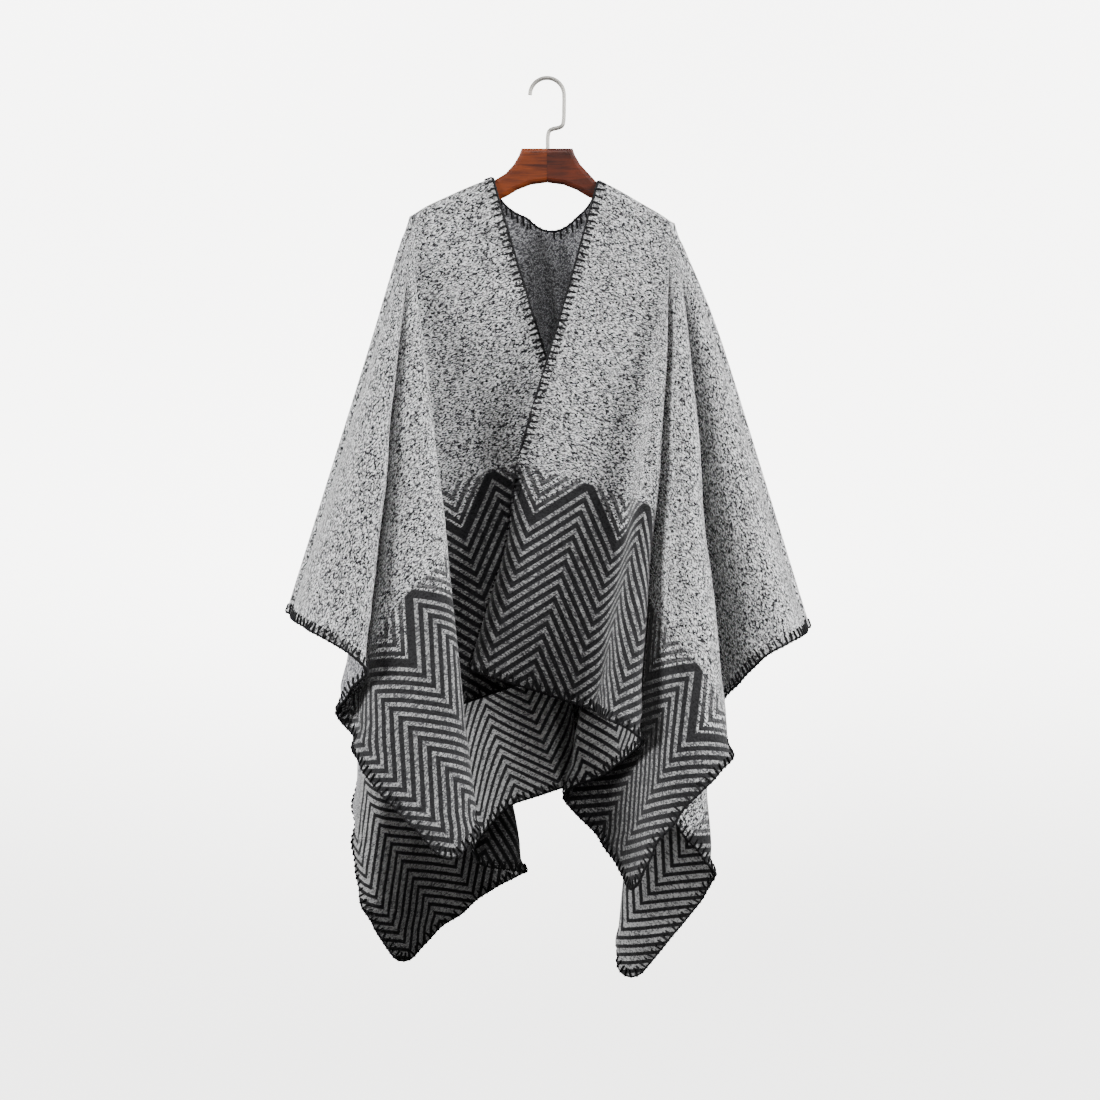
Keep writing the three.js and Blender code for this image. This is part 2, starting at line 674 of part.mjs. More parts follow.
const wholeWood = wood();
addPart("hanger_left", woodHalf(wholeWood, -1), 0x8a4418, 0.4, 0);
addPart("hanger_right", woodHalf(wholeWood, 1), 0x6e3415, 0.4, 0);
addPart("hanger_hook", hook(), 0xb9b7b0, 0.3, 1);

export default poncho;
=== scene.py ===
import math

import bmesh
import bpy
import numpy as np
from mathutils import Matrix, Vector


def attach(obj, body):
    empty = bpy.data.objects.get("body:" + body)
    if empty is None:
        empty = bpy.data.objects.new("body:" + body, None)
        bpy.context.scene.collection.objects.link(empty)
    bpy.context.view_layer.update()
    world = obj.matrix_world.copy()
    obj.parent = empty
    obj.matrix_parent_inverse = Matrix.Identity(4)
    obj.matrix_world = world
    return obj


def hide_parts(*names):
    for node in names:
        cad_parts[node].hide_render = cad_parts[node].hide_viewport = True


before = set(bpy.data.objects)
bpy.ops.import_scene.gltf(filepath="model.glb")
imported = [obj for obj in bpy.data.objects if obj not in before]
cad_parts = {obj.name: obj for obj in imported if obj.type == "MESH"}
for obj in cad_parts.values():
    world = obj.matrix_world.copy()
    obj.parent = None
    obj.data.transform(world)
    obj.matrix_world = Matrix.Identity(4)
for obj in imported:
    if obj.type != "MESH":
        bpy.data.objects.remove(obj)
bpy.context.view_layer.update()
print("frame loaded:", sorted(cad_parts))


# Shared helpers

# sRGB hex to linear RGBA
def toLinear(hexColour):
    parts = [int(hexColour[i:i + 2], 16) / 255 for i in (1, 3, 5)]
    return [c / 12.92 if c <= 0.04045 else ((c + 0.055) / 1.055) ** 2.4 for c in parts] + [1]


def addNode(tree, kind, inputs=None, **settings):
    node = tree.nodes.new(kind)
    for name, value in settings.items():
        setattr(node, name, value)
    for name, value in (inputs or {}).items():
        if isinstance(value, bpy.types.NodeSocket):
            tree.links.new(value, node.inputs[name])
        else:
            node.inputs[name].default_value = value
    return node


def newMaterial(name):
    material = bpy.data.materials.new(name)
    material.use_nodes = True
    material.node_tree.nodes.clear()
    return material, material.node_tree


def linkObject(name, mesh):
    piece = bpy.data.objects.new(name, mesh)
    bpy.context.scene.collection.objects.link(piece)
    return piece


def smoothStep(value):
    v = np.clip(value, 0, 1)
    return v * v * (3 - 2 * v)


# The camera stands square in front, 3.6 m away
view = {"place": (0.00405, -3.6, -0.6345), "lens": 87.27}
cameraData = bpy.data.cameras.new("camera")
cameraData.lens = view["lens"]
cameraData.sensor_width = 36
camera = bpy.data.objects.new("camera", cameraData)
camera.location = view["place"]
camera.rotation_euler = (math.radians(90), 0, 0)
bpy.context.scene.collection.objects.link(camera)
bpy.context.scene.camera = camera


# The cloth, in millimetres until its meshes are made
# A place on the flat blanket is (across, down): across from its middle, down from the shoulder fold.

cloth = {
    "halfWidth": 752, "frontLeft": 650, "frontRight": 675, "back": {-1: 886, 1: 861},
    "neckHalf": 75, "neckDrop": 78, "offCentre": 10, "wall": 2.5, "cornerRound": 26,
    "foldRadius": 8.8, "bendLength": 11, "biasStretch": 0.035, "crestTurnReach": 30,
    "cornerCut": 5, "cornerReach": 17, "shoulderReach": 105,
    "gatherRise": {-1: 72, 1: 0}, "gatherFrom": 445, "gatherTo": 320,
    "shoulderIn": {-1: -4, 1: 9}, "shoulderDrop": {-1: -3.5, 1: 6},
    "neckRise": 14, "neckRiseReach": 160, "neckSpan": 113,
    "armSlope": 17, "armEndX": 178, "armEndZ": -191, "sleeveSwing": {-1: -17.4, 1: -17.1},
    "rimBulge": 1.1, "rimShare": 0.55, "rimReach": 0.85,
}
crestDepth = math.pi * cloth["foldRadius"] / 2

# Each pair is one turn of a fold, as swing inward and lift off the hanger's plane in degrees
folds = {
    "frontRight": {"tilt": 6.5, "planeEnd": 97, "turns": [
        (9.6, 7.2), (9.0, 9.2), (8.0, 10.8), (6.4, 11.2), (5.2, 10.6), (4.9, 9.0), (5.9, 6.9),
        (7.8, 4.9), (10.0, 3.9), (11.6, 3.4), (11.9, 2.8), (10.6, 2.4), (9.0, 2.5), (7.0, 3.2),
        (5.6, 4.8), (4.4, 7.0), (3.0, 9.4), (0.6, 11.6), (-1.8, 12.0), (-3.8, 10.7), (-4.7, 8.6),
        (-4.1, 6.2), (-3.1, 4.2), (-3.8, 2.9), (-5.8, 5.0), (-9.2, 9.0), (-13.0, 10.0),
        (-16.2, 6.5)]},
    "frontLeft": {"tilt": 1.5, "planeEnd": 103, "turns": [
        (-1.2, 1.4), (-3.6, 1.6), (-4.6, 2.5), (-3.8, 3.6), (-1.0, 4.4), (3.0, 5.4), (5.6, 6.8),
        (6.3, 8.6), (4.8, 10.6), (2.0, 11.7), (-0.8, 12.0), (-3.2, 11.2), (-5.2, 9.2),
        (-5.6, 7.2), (-7.0, 6.2), (-8.5, 7.2), (-7.4, 8.9), (-5.8, 10.6), (-5.0, 11.8),
        (-5.8, 12.9), (-9.0, 13.2), (-12.6, 11.6), (-15.8, 7.8)]},
    "backLeft": {"tilt": 7, "planeEnd": 98, "turns": [
        (5.2, 7.2), (4.4, 8.0), (5.6, 8.7), (8.2, 9.2), (9.3, 10.1), (8.6, 11.3), (5.6, 11.8),
        (1.6, 10.8), (-1.8, 9.0), (-4.4, 7.8), (-6.2, 9.8), (-7.0, 13.0), (-6.0, 16.0),
        (-3.4, 17.6), (-1.0, 16.6), (-0.4, 14.4), (-2.2, 12.4), (-3.6, 10.4), (-3.9, 8.0),
        (-4.2, 5.4), (-6.2, 4.2), (-8.6, 5.4), (-11.0, 7.4), (-13.6, 7.2), (-15.8, 5.0)]},
    "backRight": {"tilt": 7, "planeEnd": 98, "turns": [
        (4.0, 8.2), (0.8, 9.6), (-2.4, 10.0), (-3.6, 9.2), (-2.8, 8.2), (0, 7.6), (3.0, 7.2),
        (4.8, 6.2), (3.6, 4.8), (0, 3.8), (-2.4, 2.9), (-3.3, 1.7), (-2.4, 0.5), (-0.5, -0.3),
        (0.8, -1.0), (0, -1.8), (-2.4, -1.4), (-3.9, 0.6), (-4.2, 4.0), (-3.9, 8.0),
        (-3.7, 11.0), (-4.9, 12.8), (-7.2, 12.8), (-10.2, 11.2), (-13.0, 8.2), (-15.4, 4.8)]},
}
middleFolds = {
    "count": 2, "left": {"top": 55, "hem": 260}, "right": {"top": 50, "hem": 400},
    "arch": 75, "start": 0.15, "easing": 2.2, "waveSpan": (700, 900), "rows": 90, "columns": 150,
}
meshDensity = {
    "fanStep": 0.5, "rayStep": 0.45, "flatRayStep": 1.4, "cornerStep": 0.3, "leastStep": 0.12,
    "crestSteps": 6,
    "rings": [0, 0.012, 0.03, 0.05, 0.08, 0.12, 0.16, 0.21, 0.26, 0.31, 0.37, 0.43, 0.49, 0.55,
              0.61, 0.67, 0.73, 0.79, 0.84, 0.88, 0.91, 0.935, 0.955, 0.97, 0.98, 0.988, 0.994, 1],
    "smoothingRadii": [0, 15, 30, 50, 75, 110, 160, 230, 330, 480, 700, 1100],
}


def fanDirection(swing, lift, facing):
    s, l = np.radians(swing), np.radians(lift)
    return np.stack([np.sin(s) * np.cos(l), facing * np.sin(l), -np.cos(s) * np.cos(l)], -1)


# Where a ray of the flat part points
def flatRay(clothAngle, tilt):
    a, t, slope = math.radians(clothAngle), math.radians(tilt), math.radians(cloth["armSlope"])
    x = math.cos(a) * math.cos(slope) + math.sin(a) * math.sin(slope) * math.cos(t)
    y = math.sin(a) * math.sin(t)
    z = math.cos(a) * math.sin(slope) - math.sin(a) * math.cos(slope) * math.cos(t)
    return math.degrees(math.atan2(x, -z)), math.degrees(math.asin(y))


# A centripetal Catmull-Rom curve through the fold turns
def throughPoints(keys, perSpan=40):
    keys = np.asarray(keys, float)
    line = np.vstack([2 * keys[0] - keys[1], keys, 2 * keys[-1] - keys[-2]])
    out = []
    for p0, p1, p2, p3 in zip(line, line[1:], line[2:], line[3:]):
        t1 = np.linalg.norm(p1 - p0) ** 0.5
        t2 = t1 + np.linalg.norm(p2 - p1) ** 0.5
        t3 = t2 + np.linalg.norm(p3 - p2) ** 0.5
        t = np.linspace(t1, t2, perSpan, endpoint=False)[:, None]
        a = (t1 - t) / t1 * p0 + t / t1 * p1
        b = (t2 - t) / (t2 - t1) * p1 + (t - t1) / (t2 - t1) * p2
        c = (t3 - t) / (t3 - t2) * p2 + (t - t2) / (t3 - t2) * p3
        d = (t2 - t) / t2 * a + t / t2 * b
        e = (t3 - t) / (t3 - t1) * b + (t - t1) / (t3 - t1) * c
        out.append((t2 - t) / (t2 - t1) * d + (t - t1) / (t2 - t1) * e)
    return np.vstack(out + [keys[-1:]])


# Fan directions along half a turn of cloth, its folds deepened until the cloth fits
def fanHalf(table, sleeveSwing, facing):
    flat = [flatRay(a, table["tilt"])
            for a in (0, 15, 30, 45, 60, 75, table["planeEnd"] - 8, table["planeEnd"])]

    def directionsAt(depth):
        turns = [(swing, lift * depth) for swing, lift in table["turns"]]
        curve = throughPoints(flat + turns + [(sleeveSwing, 0)])
        return fanDirection(curve[:, 0], curve[:, 1], facing)

    def lengths(directions):
        return np.concatenate([[0], np.cumsum(np.linalg.norm(np.diff(directions, axis=0), axis=1))])

    low, high = 0.4, 2
    for _ in range(40):
        middle = (low + high) / 2
        fits = lengths(directionsAt(middle))[-1] < math.pi
        low, high = (middle, high) if fits else (low, middle)
    directions = directionsAt(low)
    sums = lengths(directions)
    wanted = np.linspace(0, sums[-1], int(180 / meshDensity["fanStep"]) + 1)
    return np.stack([np.interp(wanted, sums, directions[:, i]) for i in range(3)], 1)


# The fan averaged over a spread of cloth angle, as a bend near the hanger's end is wide
def spreadFan(fan, spread):
    step = meshDensity["fanStep"]
    reach = math.ceil(3 * spread / step)

    def runOn(last, before):
        angle = math.acos(np.clip(last @ before, -1, 1))
        axis = np.cross(before, last)
        side = np.cross(axis / np.linalg.norm(axis), last)
        turns = angle * np.arange(1, reach + 1)[:, None]
        return last * np.cos(turns) + side * np.sin(turns)

    line = np.vstack([runOn(fan[0], fan[1])[::-1], fan, runOn(fan[-1], fan[-2])])
    weights = np.exp(-0.5 * (np.arange(-reach, reach + 1) * step / spread) ** 2)
    weights /= weights.sum() * math.exp(-0.5 * math.radians(spread) ** 2)
    return np.stack([np.convolve(line[:, i], weights, mode="valid") for i in range(3)], 1)


# One side of the cloth. place(across, down) gives its middle surface, down negative behind.
def clothSide(sign, front, back):
    c = cloth
    sleeveSwing = c["sleeveSwing"][sign]
    endAcross = c["neckHalf"] + c["neckSpan"] - sign * c["offCentre"]
    neckAcross = c["neckHalf"] - sign * c["offCentre"]
    fan = np.vstack([fanHalf(front, sleeveSwing, -1), fanHalf(back, sleeveSwing, 1)[::-1][1:]])
    radii = np.array(meshDensity["smoothingRadii"], float)
    spreads = [min(math.degrees(c["bendLength"] / max(r, 12)), 40) for r in radii]
    fans = np.array([spreadFan(fan, spread) for spread in spreads])
    slope, swing = math.radians(c["armSlope"]), math.radians(sleeveSwing)

    def directionAt(radius, clothAngle):
        ring = np.interp(radius, radii, np.arange(len(radii)))
        i = np.clip(ring.astype(int), 0, len(radii) - 2)
        turn = np.clip(clothAngle / meshDensity["fanStep"], 0, len(fan) - 1.001)
        k = turn.astype(int)
        ringPart, turnPart = (ring - i)[..., None], (turn - k)[..., None]
        inner = fans[i, k] * (1 - turnPart) + fans[i, k + 1] * turnPart
        outer = fans[i + 1, k] * (1 - turnPart) + fans[i + 1, k + 1] * turnPart
        return inner * (1 - ringPart) + outer * ringPart

    def place(across, down):
        across, down = np.broadcast_arrays(np.asarray(across, float), np.asarray(down, float))
        facing = np.where(down < 0, 1, -1)
        depth = np.abs(down)
        turn = np.minimum(depth / c["foldRadius"], math.pi / 2)
        hang = np.maximum(0, depth - crestDepth)
        radius = np.hypot(across - endAcross, hang)
        angle = np.degrees(np.arctan2(hang, endAcross - across))
        onBias = np.where(angle > 90, np.sin(2 * np.radians(angle)) ** 2, 0)
        reach = radius * (1 + c["biasStretch"] * onBias)
        point = directionAt(radius, np.where(down < 0, 360 - angle, angle)) * reach[..., None]
        past = smoothStep((across - endAcross) / (2 * c["crestTurnReach"]) + 0.5)
        up = np.stack([-math.sin(slope) * (1 - past) - math.cos(swing) * past, 0 * past,
                       math.cos(slope) * (1 - past) - math.sin(swing) * past], -1)
        up /= np.linalg.norm(up, axis=-1, keepdims=True)
        point = point + up * (c["foldRadius"] * np.cos(turn))[..., None]
        point[..., 1] += facing * c["foldRadius"] * np.sin(turn)
        rise = c["neckRise"] * (1 - smoothStep((across - neckAcross) / (endAcross - neckAcross)))
        point[..., 2] += rise * np.exp(-depth / c["neckRiseReach"])
        corner = c["cornerCut"] * np.exp(-(radius / c["cornerReach"]) ** 2) / math.sqrt(2)
        wide = np.exp(-(radius / c["shoulderReach"]) ** 2)
        point[..., 0] += corner + c["shoulderIn"][sign] * wide
        point[..., 2] -= corner + c["shoulderDrop"][sign] * wide
        gathered = smoothStep((c["gatherFrom"] - across) / (c["gatherFrom"] - c["gatherTo"]))
        lift = c["gatherRise"][sign] * gathered * (depth / c["back"][sign]) ** 2
        point[..., 2] += np.where(down < 0, lift, 0)
        return np.stack([sign * (c["armEndX"] - point[..., 0]), point[..., 1],
                         c["armEndZ"] + point[..., 2]], -1)

    return {"sign": sign, "endAcross": endAcross, "neckAcross": neckAcross, "back": c["back"][sign],
            "place": place}


leftSide = clothSide(-1, folds["frontLeft"], folds["backLeft"])
rightSide = clothSide(1, folds["frontRight"], folds["backRight"])


# Softer shapes that the solids leave out: a curled edge, and shallow waves

curl = {"width": 46, "turn": 1.75, "from": 330, "to": 520, "grip": 4}
waves = {
    "count": 7, "acrossMm": 95, "downMm": 170, "depth": 1.8, "seed": 7,
    "edgeDepth": 2.2, "edgeReach": 38, "edgeTerms": ((83, 1), (51, 0.7), (131, 0.5)),
    "crestClear": 30, "crestFade": 120,
}

waveRandom = np.random.default_rng(waves["seed"])
waveTerms = [(waveRandom.uniform(-1, 1) / waves["acrossMm"], waveRandom.uniform(0.4, 1) / waves["downMm"],
              waveRandom.uniform(0, 2 * math.pi)) for _ in range(waves["count"])]


def shallowWave(across, down):
    total = 0
    for u, v, phase in waveTerms:
        total = total + np.sin(2 * math.pi * (across * u + down * v) + phase)
    return total / math.sqrt(len(waveTerms))


def edgeWave(along, seed):
    return sum(height * np.sin(along * 2 * math.pi / length + (n + 1) * seed)
               for n, (length, height) in enumerate(waves["edgeTerms"]))


def surfaceNormal(surface, u, v, step):
    alongU = surface(u + step[0], v) - surface(u - step[0], v)
    alongV = surface(u, v + step[1]) - surface(u, v - step[1])
    normal = np.cross(alongV, alongU)
    return normal / np.maximum(np.linalg.norm(normal, axis=-1, keepdims=True), 1e-9)


# How far the cloth's shallow waves stand off the drape, larger toward its free edges
def waveDepth(across, down, edgeAcross, length):
    toEdge = np.minimum(np.minimum(across - edgeAcross, cloth["halfWidth"] - across), length - down)
    near = np.exp(-np.maximum(toEdge, 0) / waves["edgeReach"])
    clearOfCrest = smoothStep((down - waves["crestClear"]) / waves["crestFade"])
    wave = waves["depth"] * shallowWave(across, down)
    return clearOfCrest * (wave + waves["edgeDepth"] * near * edgeWave(across + down, length / 100))


def frontSurface(side, length):
    place, outward = side["place"], side["sign"]

    def draped(across, down):
        bare = place(across, down)
        normal = surfaceNormal(place, across, np.maximum(down, 4), (2, 2)) * outward
        return bare + normal * waveDepth(across, down, side["neckAcross"], length)[..., None]

    def surface(across, down):
        across, down = np.broadcast_arrays(np.asarray(across, float), np.asarray(down, float))
        point = draped(across, down)
        if outward < 0:
            return point
        # the right front's edge rolls under toward its corner
        width = curl["width"]
        fromEdge = across - side["neckAcross"]
        turn = curl["turn"] * smoothStep((down - curl["from"]) / (curl["to"] - curl["from"]))
        held = draped(side["neckAcross"] + width, down)
        beside = draped(side["neckAcross"] + width - curl["grip"], down)
        toEdge = beside - held
        toEdge /= np.linalg.norm(toEdge, axis=-1, keepdims=True)
        normal = surfaceNormal(place, np.full_like(across, side["neckAcross"] + width), down, (2, 2))
        angle = np.maximum(turn * (width - fromEdge) / width, 1e-6)
        radius = width / np.maximum(turn, 1e-4)
        rolled = (held + toEdge * (radius * np.sin(angle))[..., None]
                  - normal * outward * (radius * (1 - np.cos(angle)))[..., None])
        use = (fromEdge < width) & (turn > 1e-3)
        return np.where(use[..., None], rolled, point)

    return surface


# How far the back's neck curve lies below the shoulder fold
def neckCurve(side, across):
    inside = np.maximum(0, 1 - (across / side["neckAcross"]) ** 2)
    return crestDepth + (cloth["neckDrop"] - crestDepth) * np.sqrt(inside)


def foldLine(side, line, share):
    start = neckCurve(side, line["top"])
    return line["top"] + (line["hem"] - line["top"]) * share, start + (side["back"] - start) * share


def neckScoop():
    sides = ((leftSide, middleFolds["left"]), (rightSide, middleFolds["right"]))
    return cloth["neckDrop"] - sum(neckCurve(side, line["top"]) for side, line in sides) / 2


def foldHeading(share):
    low, high = 0, 2.15
    turns = np.sin(2 * math.pi * (np.arange(200) + 0.5) / 200)
    for _ in range(40):
        middle = (low + high) / 2
        low, high = (middle, high) if np.cos(middle * turns).mean() > share else (low, middle)
    return low


# Cross-sections of the back's middle folds, from the neck down to the hem
def middleSections():
    m = middleFolds
    steps = 240
    sections = []
    for share in np.linspace(0, 1, m["rows"] + 1):
        a, b = foldLine(leftSide, m["left"], share), foldLine(rightSide, m["right"], share)
        start, end = leftSide["place"](a[0], -a[1]), rightSide["place"](b[0], -b[1])
        width = a[0] + b[0]
        chord = end - start
        heading = foldHeading(chord[0] / width) * smoothStep(m["start"] + m["easing"] * share)
        turn = heading * np.sin(2 * math.pi * m["count"] * (np.arange(steps) + 0.5) / steps)
        path = np.cumsum(np.stack([np.cos(turn), np.sin(turn)], 1), 0) * width / steps
        flat = np.vstack([[0, 0], path])
        u = np.linspace(0, 1, steps + 1)
        rise = m["arch"] * share - neckScoop() * max(1 - 3 * share, 0)
        sections.append(np.stack([
            start[0] + flat[:, 0] * chord[0] / flat[-1, 0],
            start[1] + chord[1] * u + flat[:, 1],
            start[2] + chord[2] * u + rise * (1 - (2 * u - 1) ** 2)], 1))
    return np.array(sections)


sections = middleSections()


# A point of the middle folds, u from the left line to the right one
def middlePlace(u, share):
    row = np.clip(share, 0, 1) * (len(sections) - 1)
    column = np.clip(u, 0, 1) * (sections.shape[1] - 1)
    i = np.clip(row.astype(int), 0, len(sections) - 2)
    j = np.clip(column.astype(int), 0, sections.shape[1] - 2)
    a, b = (row - i)[..., None], (column - j)[..., None]
    upper = sections[i, j] * (1 - b) + sections[i, j + 1] * b
    lower = sections[i + 1, j] * (1 - b) + sections[i + 1, j + 1] * b
    return upper * (1 - a) + lower * a


# How far the middle folds' shallow waves stand off them
def middleWave(u, share):
    fromLines = smoothStep(6 * np.minimum(u, 1 - u)) * smoothStep(3 * share)
    wide, long = middleFolds["waveSpan"]
    return (waves["depth"] * fromLines * shallowWave(u * wide, share * long))[..., None]


# Where a point of the middle folds lies on the flat cloth: signed across, down, and height over the hem
def middleFlat(u, share):
    a = foldLine(leftSide, middleFolds["left"], share)
    b = foldLine(rightSide, middleFolds["right"], share)
    scoop = neckScoop() * np.maximum(1 - 3 * share, 0) * (1 - (2 * u - 1) ** 2)
    down = a[1] + (b[1] - a[1]) * u + scoop
    length = leftSide["back"] + (rightSide["back"] - leftSide["back"]) * u
    return -a[0] + (a[0] + b[0]) * u, down, length - down


# Grids, welded into one surface and given the wall

def clothAngleOf(side, across, down):
    return math.degrees(math.atan2(down - crestDepth, side["endAcross"] - across))


# Where a ray from the hanger's end leaves the cloth
def quarterEdge(side, length, clothAngle):
    a = np.radians(clothAngle)
    toEdge = (side["endAcross"] - side["neckAcross"]) / np.maximum(np.cos(a), 1e-9)
    toHem = (length - crestDepth) / np.maximum(np.sin(a), 1e-9)
    toSide = (cloth["halfWidth"] - side["endAcross"]) / np.maximum(-np.cos(a), 1e-9)
    reach = np.minimum(np.minimum(toEdge, toHem), toSide)
    return side["endAcross"] - reach * np.cos(a), crestDepth + reach * np.sin(a)


def roundCorner(across, down, cornerAcross, length, outward):
    r = cloth["cornerRound"]
    u = r - (cornerAcross - across) * outward
    v = r - (length - down)
    over = np.hypot(u, v) / r
    cut = (u > 0) & (v > 0) & (over > 1)
    over = np.where(cut, over, 1)
    return (np.where(cut, cornerAcross - outward * (r - u / over), across),
            np.where(cut, length - r + v / over, down))


def rayAngles(start, planeEnd, corners):
    closeFrom = max(planeEnd - 3, start)
    angles = list(np.arange(start, closeFrom, meshDensity["flatRayStep"]))
    angles += list(np.arange(closeFrom, 179.8, meshDensity["rayStep"])) + [180]
    for corner in corners:
        angles += list(corner + np.arange(-2.4, 2.5, meshDensity["cornerStep"]))
    angles = sorted(angles)
    apart = meshDensity["leastStep"]
    return np.array([a for i, a in enumerate(angles) if i == 0 or a - angles[i - 1] > apart or a == 180])


# The fan of rays under the hanger's end, and the crest above it
def quarterPatches(side, ends, surface):
    rings = np.array(meshDensity["rings"])[:, None]
    fanAcross = side["endAcross"] + (ends[0] - side["endAcross"]) * rings
    fanDown = crestDepth + (ends[1] - crestDepth) * rings
    inner, outer = ends[0][0] - side["endAcross"], ends[0][-1] - side["endAcross"]
    columns = side["endAcross"] + np.concatenate([inner * rings[:0:-1, 0], outer * rings[:, 0]])
    rows = crestDepth * np.arange(meshDensity["crestSteps"] + 1)[:, None] / meshDensity["crestSteps"]
    crestAcross, crestDown = np.broadcast_arrays(columns[None, :], np.maximum(rows, 0.01))
    return [(fanAcross, fanDown, surface(fanAcross, fanDown)),
            (crestAcross, crestDown, surface(crestAcross, crestDown))]


# One bmesh surface from grids of across, down, height over the hem and point
# It is turned to the side that it faces, judged above the folds, where the cloth is nearly flat.
def weldedSurface(patches, facing):
    surface = bmesh.new()
    flatU = surface.verts.layers.float.new("flatU")
    flatV = surface.verts.layers.float.new("flatV")
    height = surface.verts.layers.float.new("height")
    for u, v, h, points in patches:
        grid = [[surface.verts.new(p) for p in row] for row in points]
        for i, row in enumerate(grid):
            for j, vertex in enumerate(row):
                vertex[flatU], vertex[flatV], vertex[height] = u[i, j], v[i, j], h[i, j]
        for i in range(len(grid) - 1):
            for j in range(len(grid[0]) - 1):
                surface.faces.new((grid[i][j], grid[i][j + 1], grid[i + 1][j + 1], grid[i + 1][j]))
    bmesh.ops.remove_doubles(surface, verts=surface.verts, dist=0.02)
    bmesh.ops.recalc_face_normals(surface, faces=surface.faces)
    foldsBelow = -330
    faced = sum(f.normal.y * f.calc_area() for f in surface.faces if f.calc_center_median().z > foldsBelow)
    if faced * facing < 0:
        bmesh.ops.reverse_faces(surface, faces=surface.faces)
    surface.normal_update()
    return surface


# Both faces of the cloth 2.5 mm apart, with a rounded rim along its free edges
def shellMesh(name, surface):
    flatU, flatV, height = (surface.verts.layers.float[key] for key in ("flatU", "flatV", "height"))
    surface.verts.index_update()
    points = np.array([v.co for v in surface.verts])
    normals = np.array([v.normal for v in surface.verts])
    flat = np.array([(v[flatU], v[height]) for v in surface.verts]) / 1000
    atSeam = np.array([v[flatV] < 0.5 for v in surface.verts])
    faces = [[v.index for v in f.verts] for f in surface.faces]
    rim = []
    outward = np.zeros_like(points)
    for edge in surface.edges:
        if len(edge.link_faces) != 1:
            continue
        corners = [v.index for v in edge.link_faces[0].verts]
        a, b = edge.verts[0].index, edge.verts[1].index
        if corners[(corners.index(a) + 1) % len(corners)] != b:
            a, b = b, a
        along = points[b] - points[a]
        out = np.cross(along, normals[a] + normals[b])
        out /= max(np.linalg.norm(out), 1e-9)
        outward[a] += out
        outward[b] += out
        rim.append((a, b))
    outward /= np.maximum(np.linalg.norm(outward, axis=1, keepdims=True), 1e-9)
    outward[atSeam] = 0
    half, count = cloth["wall"] / 2, len(points)
    outer, inner = points + normals * half, points - normals * half
    rimWay = outward * cloth["rimBulge"] * cloth["rimReach"]
    upper = points + normals * half * cloth["rimShare"] + rimWay
    lower = points - normals * half * cloth["rimShare"] + rimWay
    rimLoops = sorted({i for edge in rim for i in edge})
    place = {i: n for n, i in enumerate(rimLoops)}
    allPoints = np.vstack([outer, inner, upper[rimLoops], lower[rimLoops]]) / 1000
    allFlat = np.vstack([flat, flat, flat[rimLoops], flat[rimLoops]])
    quads, slots = [], []
    for f in faces:
        quads.append(f)
        quads.append([i + count for i in reversed(f)])
        slots += [0, 1]
    for a, b in rim:
        ua, ub = 2 * count + place[a], 2 * count + place[b]
        la, lb = ua + len(rimLoops), ub + len(rimLoops)
        quads += [[b, a, ua, ub], [ub, ua, la, lb], [lb, la, a + count, b + count]]
        slots += [0, 0, 1]
    mesh = bpy.data.meshes.new(name)
    mesh.from_pydata(allPoints.tolist(), [], quads)
    mesh.polygons.foreach_set("material_index", slots)
    mesh.polygons.foreach_set("use_smooth", [True] * len(quads))
    plan = mesh.uv_layers.new(name="clothPlan")
    corner = np.zeros(len(mesh.loops), int)
    mesh.loops.foreach_get("vertex_index", corner)
    plan.data.foreach_set("uv", allFlat[corner].ravel())
    mesh.update()
    return mesh


def frontPatches(side, table, length):
    corners = [clothAngleOf(side, across, length) for across in (side["neckAcross"], cloth["halfWidth"])]
    ends = quarterEdge(side, length, rayAngles(0, table["planeEnd"], corners))
    ends = roundCorner(*ends, side["neckAcross"], length, -1)
    ends = roundCorner(*ends, cloth["halfWidth"], length, 1)
    patches = quarterPatches(side, ends, frontSurface(side, length))
    return [(side["sign"] * u, v, length - v, points) for u, v, points in patches]


def backSurface(side):
    place = side["place"]

    def surface(across, down):
        across, down = np.broadcast_arrays(np.asarray(across, float), np.asarray(down, float))
        behind = lambda u, v: place(u, -v)
        normal = surfaceNormal(behind, across, np.maximum(down, 4), (2, 2)) * -side["sign"]
        # no front edge is near, and the waves die out toward the middle folds
        depth = waveDepth(across, down, -1e4, side["back"]) * smoothStep((across - 200) / 200)
        return place(across, -down) + normal * depth[..., None]

    return surface


def backPatches():
    patches = []
    seams = []
    rows = middleFolds["rows"]
    shares = np.linspace(0, 1, rows + 1)
    for side, table, line in ((leftSide, folds["backLeft"], middleFolds["left"]),
                              (rightSide, folds["backRight"], middleFolds["right"])):
        toLine = np.array([0, 0.15, 0.35, 0.6, 0.8])
        neckAcross = side["neckAcross"] + (line["top"] - side["neckAcross"]) * toLine
        neckDown = neckCurve(side, neckAcross)
        seam = foldLine(side, line, shares)
        length = side["back"]
        first = clothAngleOf(side, line["hem"], length) + 0.6
        corner = clothAngleOf(side, cloth["halfWidth"], length)
        hem = quarterEdge(side, length, rayAngles(first, table["planeEnd"], [corner]))
        hem = roundCorner(*hem, cloth["halfWidth"], length, 1)
        ends = [np.concatenate([neckAcross if i == 0 else neckDown, seam[i], hem[i]]) for i in (0, 1)]
        found = quarterPatches(side, ends, backSurface(side))
        seams.append(found[0][2][-1][len(neckAcross):len(neckAcross) + rows + 1])
        patches += [(side["sign"] * u, v, length - v, points) for u, v, points in found]
    u, share = np.meshgrid(np.linspace(0, 1, middleFolds["columns"] + 1), shares)
    points = middlePlace(u, share)
    normal = surfaceNormal(middlePlace, u, share, (0.01, 0.01))
    points += normal * middleWave(u, share)
    points[:, 0], points[:, -1] = seams
    patches.append((*middleFlat(u, share), points))
    return patches


